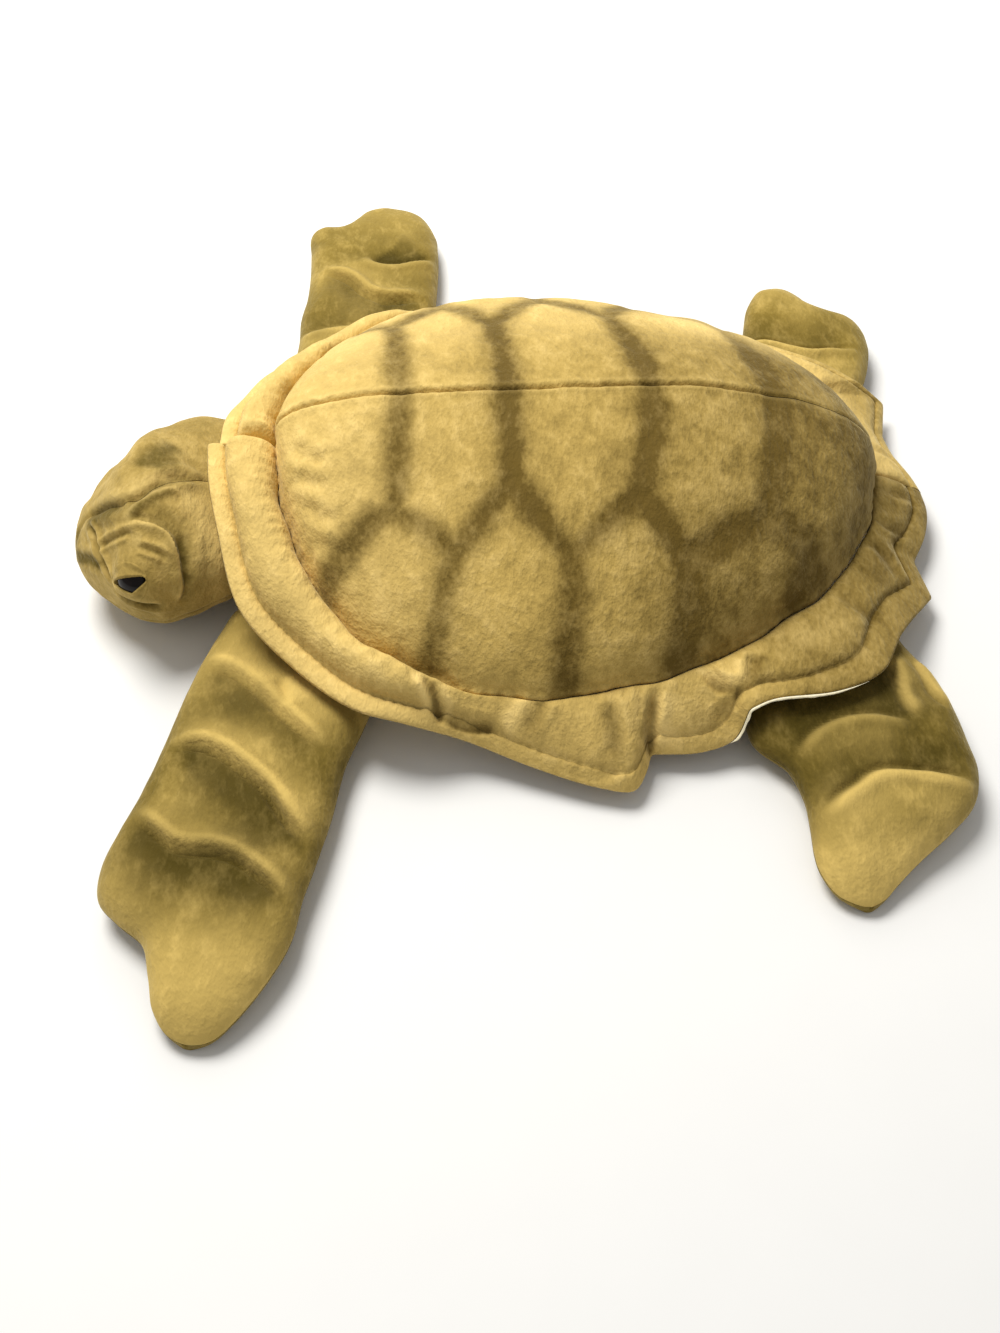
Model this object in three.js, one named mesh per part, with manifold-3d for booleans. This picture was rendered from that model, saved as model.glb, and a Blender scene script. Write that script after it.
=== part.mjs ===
// A plush sea turtle that lies on its belly: sewn covers, waddings, and plastic eyes.
// Millimetres. The nose points along -X, the turtle's left side is towards -Y, and +Z is up.
// The origin is on the flat of the belly, on the ground.
import * as THREE from "three";
import { mergeVertices } from "three/addons/utils/BufferGeometryUtils.js";
import Module from "manifold-3d";

const wasm = await Module();
wasm.setup();

// Cloth and clearances
const cloth = 3; // plush pile and backing together
const gap = 0.3; // between neighbouring covers
const paddingGap = 0.5; // between a cover and the wadding in it
const overrun = 2; // how far a cutting body runs past what it cuts
const vast = 900; // a cutting body larger than the turtle

// Flippers
const frontLength = 190; // from the root at the shell's rim to the tip
const frontHalfWidth = 46;
const frontThickness = 27;
const rearLength = 125;
const rearHalfWidth = 50;
const rearThickness = 26;
const foldedRearLength = 88; // the right rear flipper is folded up short
const hingeRadius = Math.max(frontThickness, rearThickness) / 2 + paddingGap;

// Neck and head
const headReach = 76; // from the nod axis to the nose
const headHalfWidth = 64;
const headSlump = 14; // the face sags this far to the head's left
const headHalfHeight = 38;
const neckHalfWidth = 65;
const neckHalfHeight = 31;
const nodHeight = 33; // the cross axis that the head nods about
const nodClearance = 1; // the head's round root stands this far outside the neck's half height
const nodRadius = neckHalfHeight + nodClearance;
const nodSetbackShare = 0.25; // of nodRadius, from the rim's front edge back to the nod axis
const headYaw = THREE.MathUtils.degToRad(15); // the head is turned to its left at rest
const headSideStep = 11; // how far the nod axis lies to the left of the shell's middle
const turnReach = THREE.MathUtils.degToRad(11); // room for the neck to turn each way
const neckRootRadius = 48; // about the upright axis that the neck turns on
const mouthHeight = 24;

// Eyes
const eyeRadius = 9;
const eyeDomeHeight = 6;
const eyeSink = 1.5; // how deep the eye's rim is pressed into the cloth
const eyeShankRadius = 2;
const eyeShankLength = 11;
const eyeWasherRadius = 8;
const eyeWasherThickness = 1.6;
const eyeWasherBore = eyeShankRadius + gap;

// Shell dome
const domeMiddleX = -16; // station where the dome is widest
const domeFrontReach = 135;
const domeRearReach = 188;
const domeHalfWidth = 150;
const ridgeHeight = 103;
const seamFrontRun = 48; // length over which the dome's seam climbs towards the neck
const seamRearRun = 70;
const seamRearDrop = 5;
const planFrontRoundness = 2.2;
const planRearRoundness = 1.8;
const profileFrontRoundness = 5;
const profileRearRoundness = 2.6;
const domeSectionRoundness = 1.75;

// Belly
const bellyInset = 2; // the belly's wall stands this far inside the dome's seam
const bellySectionRoundness = 3.2;
const bellyFlatShare = 0.72; // flat on the ground, of the belly's width

// Shell rim
const rimFrontOverhang = 46;
const rimSideOverhang = 40;
const rimRearOverhang = 26;
const rimLift = 5.4; // clear height between the flippers and the rim's edge
const rimNeckLift = 6; // clear height between the neck and the rim's edge
const rimFrontSwell = 16; // thickness of the wadding in the roll at the front
const rimSkirtSwell = 5; // and along the sides and the rear
const rimEdgeWadding = 1;
const rimLip = 7; // flat lip of the underside beyond the roll
const rimSeamDrop = 9; // the dome's front seam is this far below the rim's front edge
const rimOverlap = 3; // how far the rim is made into the dome before it is trimmed

// Heights and reaches that follow from the sizes above
const rimSideHeight = Math.max(frontThickness, rearThickness) + rimLift;
const rimFrontHeight = nodHeight + nodRadius + rimNeckLift;
const rimInnerThickness = 2 * cloth + 2 * paddingGap + rimEdgeWadding;
const seamHeight = Math.max(frontThickness, rearThickness) + rimInnerThickness + overrun / 2;
const seamFrontHeight = rimFrontHeight - rimSeamDrop;
const rimFrontReach = domeFrontReach - domeMiddleX + rimFrontOverhang;
const rimRearReach = domeRearReach + domeMiddleX + rimRearOverhang;
const rimSpan = domeHalfWidth + rimSideOverhang;
const nodX = -rimFrontReach + nodRadius * nodSetbackShare;
const neckTurnX = -rimFrontReach + nodRadius + neckRootRadius / 2;
const neckRearX = neckTurnX + neckRootRadius + overrun;

// Fineness of the faceted solids
const domeStations = 14;
const domeArcSteps = 10;
const bellyArcSteps = 3;
const flipperArcSteps = 4;
const neckSides = 12;
const headSides = 12;
const eyeSides = 14;
const eyeSteps = 4;
const axisSides = 24;
const roomSteps = 8;
const endShare = 0.985; // the last station stands just short of the tip
const weldDistance = 1e-4;
const slopeStepShare = 0.01; // either side of the place where a slope is measured

const plush = (colour) =>
  new THREE.MeshStandardMaterial({ color: colour, roughness: 0.95, metalness: 0 });
const shellPlush = plush(0xb59a4c);
const limbPlush = plush(0x9a8436);
const bellyPlush = plush(0xd8c690);
const wadding = plush(0xf2efe6);
const eyePlastic = new THREE.MeshStandardMaterial({
  color: 0x120d0a,
  roughness: 0.12,
  metalness: 0,
});
const washerPlastic = new THREE.MeshStandardMaterial({
  color: 0xe8e6e0,
  roughness: 0.5,
  metalness: 0,
});

const turtle = new THREE.Group();

function addNode(name, geometry, material) {
  const mesh = new THREE.Mesh(geometry, material);
  mesh.name = name;
  turtle.add(mesh);
}

// Closed bodies from rings of points

function signedVolume(positions, indices) {
  const a = new THREE.Vector3();
  const b = new THREE.Vector3();
  const c = new THREE.Vector3();
  let volume = 0;
  for (let i = 0; i < indices.length; i += 3) {
    a.fromArray(positions, 3 * indices[i]);
    b.fromArray(positions, 3 * indices[i + 1]);
    c.fromArray(positions, 3 * indices[i + 2]);
    volume += a.dot(b.cross(c)) / 6;
  }
  return volume;
}

function turnInsideOut(indices) {
  for (let i = 0; i < indices.length; i += 3)
    [indices[i + 1], indices[i + 2]] = [indices[i + 2], indices[i + 1]];
}

function closedGeometry(positions, indices) {
  if (signedVolume(positions, indices) < 0) turnInsideOut(indices);
  const geometry = new THREE.BufferGeometry();
  geometry.setAttribute("position", new THREE.Float32BufferAttribute(positions, 3));
  geometry.setIndex(indices);
  return geometry;
}

// Two triangles for each step along and around. The second half of a ring is split the other way, so that
// a face there matches the like face of a neighbour whose first half it is.
function wallIndices(rows, sides) {
  const indices = [];
  for (let row = 0; row + 1 < rows; row++)
    for (let side = 0; side < sides; side++) {
      const here = row * sides + side;
      const beside = row * sides + ((side + 1) % sides);
      const ahead = here + sides;
      const across = beside + sides;
      if (side < sides / 2) indices.push(here, beside, ahead, beside, across, ahead);
      else indices.push(here, beside, across, here, across, ahead);
    }
  return indices;
}

// A body through a row of round rings, with a fan over each end.
function loft(rings) {
  const sides = rings[0].length;
  const positions = [];
  for (const ring of rings) for (const point of ring) positions.push(...point.toArray());
  const indices = wallIndices(rings.length, sides);
  const fan = (ring, firstIndex, turned) => {
    const middle = new THREE.Vector3();
    for (const point of ring) middle.add(point);
    middle.divideScalar(sides);
    positions.push(...middle.toArray());
    const centre = positions.length / 3 - 1;
    for (let side = 0; side < sides; side++) {
      const here = firstIndex + side;
      const beside = firstIndex + ((side + 1) % sides);
      if (turned) indices.push(centre, here, beside);
      else indices.push(centre, beside, here);
    }
  };
  fan(rings[0], 0, false);
  fan(rings[rings.length - 1], (rings.length - 1) * sides, true);
  return closedGeometry(positions, indices);
}

// A body through a row of band-shaped rings. The first half of each ring is one face of the band, and the
// second half runs back along the other face.
function bandLoft(rings) {
  const sides = rings[0].length;
  const positions = [];
  for (const ring of rings) for (const point of ring) positions.push(...point.toArray());
  const indices = wallIndices(rings.length, sides);
  const closeEnd = (start, turned) => {
    for (let side = 0; side + 1 < sides / 2; side++) {
      const outer = start + side;
      const inner = start + sides - 1 - side;
      const quad = [outer, outer + 1, inner - 1, inner];
      if (turned) quad.reverse();
      indices.push(quad[0], quad[2], quad[1], quad[0], quad[3], quad[2]);
    }
  };
  closeEnd(0, false);
  closeEnd((rings.length - 1) * sides, true);
  return closedGeometry(positions, indices);
}

function solidOf(geometry) {
  const bare = geometry.clone();
  bare.deleteAttribute("normal");
  bare.deleteAttribute("uv");
  const merged = mergeVertices(bare, weldDistance);
  return new wasm.Manifold(
    new wasm.Mesh({
      numProp: 3,
      vertProperties: new Float32Array(merged.attributes.position.array),
      triVerts: new Uint32Array(merged.index.array),
    }),
  );
}

function geometryOf(solid) {
  const mesh = solid.getMesh();
  const positions = new Float32Array(mesh.numVert * 3);
  for (let i = 0; i < mesh.numVert; i++) {
    const from = i * mesh.numProp;
    positions.set(mesh.vertProperties.subarray(from, from + 3), i * 3);
  }
  const geometry = new THREE.BufferGeometry();
  geometry.setAttribute("position", new THREE.BufferAttribute(positions, 3));
  geometry.setIndex(new THREE.BufferAttribute(new Uint32Array(mesh.triVerts), 1));
  geometry.computeVertexNormals();
  return geometry;
}

// A cut can leave crumbs beside the piece, which is the largest body.
function largest(solid) {
  return solid.decompose().reduce((a, b) => (b.volume() > a.volume() ? b : a));
}

function block(lengthX, lengthY, lengthZ, x, y, z) {
  return solidOf(new THREE.BoxGeometry(lengthX, lengthY, lengthZ).translate(x, y, z));
}

// Everything ahead of an upright plane, where yaw is the direction that leads ahead.
function aheadOf(x, y, yaw) {
  const half = new THREE.BoxGeometry(vast, vast, vast).translate(vast / 2, 0, 0);
  return solidOf(half.rotateZ(yaw).translate(x, y, 0));
}

// A long round bar on a level axis across the direction that yaw gives.
function levelBar(radius, x, y, z, yaw) {
  const bar = new THREE.CylinderGeometry(radius, radius, vast, axisSides);
  return solidOf(bar.rotateZ(yaw).translate(x, y, z));
}

function uprightBar(radius, x, y) {
  const bar = new THREE.CylinderGeometry(radius, radius, vast, 2 * axisSides);
  return solidOf(bar.rotateX(Math.PI / 2).translate(x, y, 0));
}

const signedPower = (value, power) => Math.sign(value) * Math.abs(value) ** power;

// Value of a column of a table at a place along its first column.
function columnAt(table, along, column) {
  let row = 1;
  while (row < table.length - 1 && table[row][0] < along) row++;
  const before = table[row - 1];
  const after = table[row];
  const blend = (along - before[0]) / (after[0] - before[0]);
  return THREE.MathUtils.lerp(before[column], after[column], blend);
}

// Dome and belly

// Share of the full width or height that is left at a station.
function roundShare(x, frontReach, rearReach, frontRoundness, rearRoundness) {
  const along = x - domeMiddleX;
  const reach = along < 0 ? frontReach : rearReach;
  const roundness = along < 0 ? frontRoundness : rearRoundness;
  const away = Math.min(1, Math.abs(along) / reach);
  return (1 - away ** roundness) ** (1 / roundness);
}

function seamHeightAt(x) {
  const frontEnd = domeMiddleX - domeFrontReach;
  const rearEnd = domeMiddleX + domeRearReach;
  const front = THREE.MathUtils.clamp((frontEnd + seamFrontRun - x) / seamFrontRun, 0, 1);
  const rear = THREE.MathUtils.clamp((x - rearEnd + seamRearRun) / seamRearRun, 0, 1);
  return seamHeight + (seamFrontHeight - seamHeight) * front ** 2 - seamRearDrop * rear ** 2;
}

function stationsAlong(frontReach, rearReach) {
  const found = [];
  for (let i = 0; i <= domeStations; i++) {
    const turn = Math.PI * (i / domeStations - 1 / 2) * endShare;
    found.push(domeMiddleX + Math.sin(turn) * (turn < 0 ? frontReach : rearReach));
  }
  return found;
}

// The solid under the dome's cloth, taken in by inset, with a straight foot below its seam.
function domeSolid(inset, foot) {
  const front = domeFrontReach - inset;
  const rear = domeRearReach - inset;
  const power = 2 / domeSectionRoundness;
  const rings = stationsAlong(front, rear).map((x) => {
    const wide = roundShare(x, front, rear, planFrontRoundness, planRearRoundness);
    const high = roundShare(x, front, rear, profileFrontRoundness, profileRearRoundness);
    const halfWidth = (domeHalfWidth - inset) * wide;
    const seam = seamHeightAt(x);
    const rise = (ridgeHeight - inset - seam) * high;
    const ring = [];
    for (let i = 0; i <= domeArcSteps; i++) {
      const turn = (Math.PI * i) / domeArcSteps;
      const y = halfWidth * signedPower(Math.cos(turn), power);
      ring.push(new THREE.Vector3(x, y, seam + rise * Math.sin(turn) ** power));
    }
    ring.push(new THREE.Vector3(x, -halfWidth, seam - foot));
    ring.push(new THREE.Vector3(x, halfWidth, seam - foot));
    return ring;
  });
  return solidOf(loft(rings));
}

// The body below the seam. Its flat lies on the ground when inset is zero.
function bellySolid(inset, topShift) {
  const front = domeFrontReach - bellyInset - inset;
  const rear = domeRearReach - bellyInset - inset;
  const power = 2 / bellySectionRoundness;
  const bottom = Math.max(0, inset);
  const rings = stationsAlong(front, rear).map((x) => {
    const wide = roundShare(x, front, rear, planFrontRoundness, planRearRoundness);
    const halfWidth = (domeHalfWidth - bellyInset - inset) * wide;
    const flat = halfWidth * bellyFlatShare;
    const top = seamHeightAt(x) - overrun;
    const half = [new THREE.Vector3(x, halfWidth, top + overrun + topShift)];
    for (let i = 0; i <= bellyArcSteps; i++) {
      const turn = (Math.PI / 2) * (i / bellyArcSteps);
      const y = flat + (halfWidth - flat) * Math.cos(turn) ** power;
      half.push(new THREE.Vector3(x, y, bottom + (top - bottom) * (1 - Math.sin(turn) ** power)));
    }
    const mirrored = half.map((point) => new THREE.Vector3(x, -point.y, point.z)).reverse();
    return [...half, ...mirrored];
  });
  return solidOf(loft(rings));
}

// Shell rim

// Outer edge of the rim from the middle of the front to the middle of the rear. In each row: share of the
// rim's reach along X, share of its span across, share of its height at the side, and share of the extra
// height at the front.
const leftEdgeShares = [
  [-0.955, 0, 1, 1],
  [-0.945, 0.13, 1, 0.95],
  [-0.92, 0.27, 1, 0.77],
  [-0.864, 0.485, 1, 0.32],
  [-0.74, 0.635, 1, 0.04],
  [-0.58, 0.785, 1, 0],
  [-0.455, 0.832, 0.95, 0],
  [-0.31, 0.847, 0.57, 0],
  [-0.15, 0.915, 0.38, 0],
  [0, 0.975, 0.29, 0],
  [0.095, 0.99, 0.25, 0],
  [0.13, 0.94, 0.25, 0],
  [0.15, 0.885, 0.29, 0],
  [0.27, 0.89, 0.32, 0],
  [0.355, 0.875, 0.38, 0],
  [0.39, 0.835, 0.7, 0],
  [0.45, 0.815, 1, 0],
  [0.61, 0.8, 1, 0],
  [0.73, 0.75, 1, 0],
  [0.83, 0.59, 0.8, 0],
  [0.975, 0.4, 0.32, 0],
  [0.955, 0.27, 0.38, 0],
  [1.01, 0.17, 0.4, 0],
  [1.04, 0.07, 0.4, 0],
  [1.04, 0, 0.42, 0],
];
// On the right the rear quarter is tucked in above the folded flipper.
const tuckedEdgeShares = [
  [0.355, 0.86, 0.38, 0],
  [0.4, 0.8, 0.7, 0],
  [0.47, 0.75, 1, 0],
  [0.6, 0.65, 1.03, 0],
  [0.73, 0.57, 1.03, 0],
  [0.84, 0.5, 1, 0],
  [0.94, 0.43, 0.85, 0],
  [1.035, 0.43, 0.3, 0],
  [0.99, 0.26, 0.38, 0],
  [1, 0.17, 0.4, 0],
  [1.03, 0.07, 0.4, 0],
  [1.04, 0, 0.42, 0],
];
const sharedRows = 14;
const rightEdgeShares = [...leftEdgeShares.slice(0, sharedRows), ...tuckedEdgeShares];
// How much of the swell the roll has between its seam and its lip, and the places of those values.
const rollPlaceShares = [0, 0.27, 0.76, 1];
const rollSwellShares = [0, 0.95, 0.9, 0];
// The roll begins to fill, and is full, at these shares of the rim's reach forward.
const rollStartShare = 0.25;
const rollFullShare = 0.6;

// Where a ray from the dome's middle meets the dome's seam.
function seamPoint(directionX, directionY, clear) {
  const front = directionX < 0;
  const reach = (front ? domeFrontReach : domeRearReach) + clear;
  const roundness = front ? planFrontRoundness : planRearRoundness;
  const size = Math.hypot(directionX, directionY);
  const alongShare = Math.abs(directionX) / size / reach;
  const acrossShare = Math.abs(directionY) / size / (domeHalfWidth + clear);
  const distance = (alongShare ** roundness + acrossShare ** roundness) ** (-1 / roundness);
  const x = domeMiddleX + (directionX / size) * distance;
  return new THREE.Vector3(x, (directionY / size) * distance, seamHeightAt(x));
}

// The rim's stations on one side, each with its inner and outer end and the swell between them.
function rimStations(edgeShares, side) {
  const frontExtra = rimFrontHeight - rimSideHeight;
  return edgeShares.map(([along, across, up, upFront]) => {
    const reach = along < 0 ? rimFrontReach : rimRearReach;
    const height = up * rimSideHeight + upFront * frontExtra;
    const outer = new THREE.Vector3(along * reach, side * across * rimSpan, height);
    const inner = seamPoint(outer.x - domeMiddleX, outer.y, -rimOverlap);
    inner.z -= rimInnerThickness;
    if (across === 0) {
      outer.y = (side * gap) / 2;
      inner.y = (side * gap) / 2;
    }
    const frontness = THREE.MathUtils.smoothstep(-along, rollStartShare, rollFullShare);
    const swell = THREE.MathUtils.lerp(rimSkirtSwell, rimFrontSwell, frontness);
    return { inner, outer, swell };
  });
}

// Heights above the rim's underside of a layer's two faces at one place, and whether it reaches that place.
const rimLayers = {
  underside: { from: () => 0, to: () => cloth, places: rollPlaceShares.length, lip: true },
  wadding: {
    from: () => cloth + paddingGap,
    to: (swell) => cloth + paddingGap + rimEdgeWadding + swell,
    places: rollPlaceShares.length - 1,
    lip: false,
  },
  cover: {
    from: (swell, last) => (last ? cloth + gap : cloth + 2 * paddingGap + rimEdgeWadding + swell),
    to: (swell, last) =>
      last ? 2 * cloth + gap : 2 * cloth + 2 * paddingGap + rimEdgeWadding + swell,
    places: rollPlaceShares.length,
    lip: false,
  },
};

function rimSolid(stations, layer) {
  const rings = stations.map(({ inner, outer, swell }) => {
    const rollShare = 1 - rimLip / inner.distanceTo(outer);
    const lower = [];
    const upper = [];
    const addPlace = (share, localSwell, last) => {
      const base = inner.clone().lerp(outer, share);
      lower.push(base.clone().setZ(base.z + layer.from(localSwell, last)));
      upper.push(base.clone().setZ(base.z + layer.to(localSwell, last)));
    };
    for (let i = 0; i < layer.places; i++) {
      const last = i === rollPlaceShares.length - 1;
      addPlace(rollPlaceShares[i] * rollShare, swell * rollSwellShares[i], last);
    }
    if (layer.lip) addPlace(1, 0, false);
    return [...upper, ...lower.reverse()];
  });
  return solidOf(bandLoft(rings));
}

// Neck and head

function ovalRing(centre, heading, halfWidth, halfHeight, sides) {
  const ring = [];
  for (let i = 0; i < sides; i++) {
    const turn = (2 * Math.PI * i) / sides;
    const across = halfWidth * Math.cos(turn);
    const x = centre.x - across * Math.sin(heading);
    const y = centre.y + across * Math.cos(heading);
    ring.push(new THREE.Vector3(x, y, centre.z + halfHeight * Math.sin(turn)));
  }
  return ring;
}

// Neck stations from its rear end to the nod axis: share of the way, half width and half height as shares
// of the neck's, height of the middle as a share of the nod axis's, share of the side step.
const neckShares = [
  [0, 0.7, 0.65, 0.79, 0],
  [0.6, 0.7, 0.66, 0.8, 0.12],
  [0.71, 0.79, 0.7, 0.83, 0.35],
  [0.82, 0.88, 0.78, 0.88, 0.58],
  [0.92, 0.94, 0.88, 0.94, 0.8],
  [1.06, 1, 1, 1, 1.14],
];

function neckSolid(inset) {
  const rings = neckShares.map(([along, wide, high, up, step]) => {
    const x = THREE.MathUtils.lerp(neckRearX, nodX, along);
    const centre = new THREE.Vector3(x, -headSideStep * step, nodHeight * up);
    const heading = Math.PI + headYaw * Math.min(1, step);
    const halfWidth = neckHalfWidth * wide - inset;
    return ovalRing(centre, heading, halfWidth, neckHalfHeight * high - inset, neckSides);
  });
  return solidOf(loft(rings));
}

// Head stations in the head's own frame, where +X is forward, +Y is its left and the nod axis is at x = 0:
// share of the reach, half width and half height as shares of the head's, height of the middle as a share
// of headHalfHeight, and share of the slump.
const headShares = [
  [-0.45, 0.65, 0.4, 0.71, -0.25],
  [-0.26, 0.77, 0.54, 0.75, -0.29],
  [-0.13, 0.86, 0.62, 0.76, -0.3],
  [0, 0.92, 0.705, 0.775, -0.3],
  [0.12, 0.95, 0.8, 0.84, -0.27],
  [0.26, 0.94, 0.94, 0.945, 0],
  [0.39, 0.89, 1, 1.01, 0.35],
  [0.53, 0.8, 0.97, 1.01, 0.9],
  [0.66, 0.69, 0.85, 0.95, 1],
  [0.76, 0.6, 0.7, 0.89, 0.8],
  [0.87, 0.46, 0.51, 0.83, 0.55],
  [0.95, 0.32, 0.31, 0.8, 0.53],
  [1, 0.1, 0.12, 0.79, 0.53],
];

function headSolid(inset) {
  const narrowest = eyeShankRadius / 2;
  const rings = headShares.map(([along, wide, high, up, slump]) => {
    const x = (headReach - inset) * along;
    const halfWidth = Math.max(headHalfWidth * wide - inset, narrowest);
    const halfHeight = Math.max(headHalfHeight * high - inset, narrowest);
    const centre = new THREE.Vector3(x, headSlump * slump, headHalfHeight * up);
    return ovalRing(centre, 0, halfWidth, halfHeight, headSides);
  });
  return solidOf(loft(rings));
}

const headFrame = new THREE.Matrix4()
  .makeRotationZ(Math.PI + headYaw)
  .setPosition(nodX, -headSideStep, 0);
const inHeadFrame = (geometry) => geometry.applyMatrix4(headFrame);

// What nods: everything ahead of the nod axis, and a round bar about it.
const noddingRegion = (clear) =>
  aheadOf(0, 0, 0).add(levelBar(nodRadius + clear, 0, 0, nodHeight, 0));

// What turns: everything ahead of the neck's upright axis, and a round bar about it.
const turningRegion = () =>
  aheadOf(neckTurnX, 0, Math.PI).add(uprightBar(neckRootRadius, neckTurnX, 0));

// The space in the body that the neck sweeps when it turns from side to side: round behind its axis, and
// flared towards the front.
function neckRoom() {
  const frontX = domeMiddleX - domeFrontReach;
  const along = (frontX - neckRearX) / (nodX - neckRearX);
  const size = (column, scale) => scale * columnAt(neckShares, along, column);
  const top = size(3, nodHeight) + size(2, neckHalfHeight) + gap;
  const bottom = nodHeight * neckShares[0][3] - neckHalfHeight * neckShares[0][2] - gap;
  const swing = (neckTurnX - frontX) * Math.tan(turnReach);
  const halfWidth = size(1, neckHalfWidth) + size(4, headSideStep) + swing + gap;
  const radius = neckRootRadius + gap;
  const slope = (halfWidth - radius) / (neckTurnX - frontX);
  const endX = frontX - overrun;
  const endHalfWidth = halfWidth + slope * overrun;
  const outline = new THREE.Shape();
  outline.moveTo(endX, -endHalfWidth);
  outline.lineTo(neckTurnX, -radius);
  outline.absarc(neckTurnX, 0, radius, -Math.PI / 2, Math.PI / 2, false);
  outline.lineTo(endX, endHalfWidth);
  outline.closePath();
  const room = new THREE.ExtrudeGeometry(outline, {
    depth: top - bottom,
    bevelEnabled: false,
    curveSegments: roomSteps,
  });
  return solidOf(room.translate(0, 0, bottom));
}

// Eyes

function lathe(points) {
  const profile = points.map(([radius, height]) => new THREE.Vector2(radius, height));
  return new THREE.LatheGeometry(profile, eyeSides).rotateX(Math.PI / 2);
}

// The eye looks along its own +Z, and its shank runs down through the cloth.
function eyeGeometry(grow) {
  const shank = eyeShankRadius + grow;
  const profile = [[0, -eyeShankLength - grow]];
  profile.push([shank, -eyeShankLength - grow]);
  profile.push([shank, -grow]);
  profile.push([eyeRadius + grow, -grow]);
  for (let i = 1; i < eyeSteps; i++) {
    const turn = (Math.PI / 2) * (i / eyeSteps);
    const radius = (eyeRadius + grow) * Math.cos(turn);
    profile.push([radius, (eyeDomeHeight + grow) * Math.sin(turn)]);
  }
  profile.push([0, eyeDomeHeight + grow]);
  return lathe(profile);
}

const washerTop = -cloth - gap;

function washerGeometry() {
  const bottom = washerTop - eyeWasherThickness;
  return lathe([
    [eyeWasherBore, bottom],
    [eyeWasherRadius, bottom],
    [eyeWasherRadius, washerTop],
    [eyeWasherBore, washerTop],
    [eyeWasherBore, bottom],
  ]);
}

function washerRoom() {
  const radius = eyeWasherRadius + gap;
  const height = eyeWasherThickness + 2 * gap;
  const room = new THREE.CylinderGeometry(radius, radius, height, eyeSides);
  return room.rotateX(Math.PI / 2).translate(0, 0, washerTop + gap - height / 2);
}

// An eye's place on the head, by how far forward it is and how far up from level. The head is rolled a
// little, so its left eye is the higher one.
const eyeAlongShare = 0.65;
const leftEyeTurn = THREE.MathUtils.degToRad(29);
const rightEyeTurn = THREE.MathUtils.degToRad(12);

function eyeFrame(side) {
  const eyeTurn = side > 0 ? leftEyeTurn : rightEyeTurn;
  const size = (column, scale) => scale * columnAt(headShares, eyeAlongShare, column);
  const slope = (column, scale) => {
    const after = columnAt(headShares, eyeAlongShare + slopeStepShare, column);
    const before = columnAt(headShares, eyeAlongShare - slopeStepShare, column);
    return (scale * (after - before)) / (2 * slopeStepShare * headReach);
  };
  const wide = size(1, headHalfWidth);
  const high = size(2, headHalfHeight);
  const cos = Math.cos(eyeTurn);
  const sin = Math.sin(eyeTurn);
  const forward =
    (-(cos ** 2) * slope(1, headHalfWidth)) / wide - (sin ** 2 * slope(2, headHalfHeight)) / high;
  const facing = new THREE.Vector3(forward, (side * cos) / wide, sin / high).normalize();
  const place = new THREE.Vector3(
    headReach * eyeAlongShare,
    size(4, headSlump) + side * wide * cos,
    size(3, headHalfHeight) + high * sin,
  ).addScaledVector(facing, -eyeSink);
  const turn = new THREE.Quaternion().setFromUnitVectors(new THREE.Vector3(0, 0, 1), facing);
  return new THREE.Matrix4().compose(place, turn, new THREE.Vector3(1, 1, 1));
}

// Flippers

// Front flipper outline from its hidden end to its tip: share of the length, then leading and trailing
// edge as shares of the half width.
const frontOutlineShares = [
  [-0.33, 0.82, -0.82],
  [-0.1, 1.03, -1],
  [0.08, 1.1, -0.92],
  [0.24, 1.12, -0.83],
  [0.38, 1.15, -0.83],
  [0.52, 1.22, -0.82],
  [0.63, 1.26, -0.79],
  [0.71, 1.17, -0.8],
  [0.76, 0.88, -0.78],
  [0.8, 0.6, -0.73],
  [0.87, 0.45, -0.62],
  [0.94, 0.32, -0.45],
  [1, 0.02, -0.17],
];
// The right front flipper lies a little bent, so its leading edge runs straighter.
const bentFrontOutlineShares = [
  [-0.33, 0.7, -0.85],
  [-0.1, 0.76, -1],
  [0.11, 0.79, -0.98],
  [0.24, 0.88, -0.96],
  [0.36, 0.9, -0.94],
  [0.5, 0.98, -0.88],
  [0.63, 1.09, -0.81],
  [0.73, 1.17, -0.73],
  [0.77, 1.05, -0.69],
  [0.8, 0.74, -0.65],
  [0.85, 0.62, -0.55],
  [0.92, 0.52, -0.35],
  [0.97, 0.22, -0.08],
];
// Thickness along the flipper as shares of its own. The dips are the folds across it.
const frontDepthShares = [
  [-0.33, 0.7],
  [-0.1, 0.9],
  [0.11, 0.96],
  [0.24, 0.86],
  [0.38, 1],
  [0.51, 0.86],
  [0.63, 0.98],
  [0.71, 0.84],
  [0.8, 0.95],
  [0.94, 0.68],
  [1, 0.36],
];
const rearOutlineShares = [
  [-0.4, 0.8, -0.8],
  [-0.1, 0.95, -0.85],
  [0.1, 1.02, -1.01],
  [0.26, 1.03, -1.05],
  [0.4, 0.79, -1.04],
  [0.55, 0.74, -1],
  [0.68, 0.78, -0.83],
  [0.78, 0.82, -0.5],
  [0.86, 0.81, -0.16],
  [0.94, 0.7, 0.14],
  [1, 0.5, 0.36],
];
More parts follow.
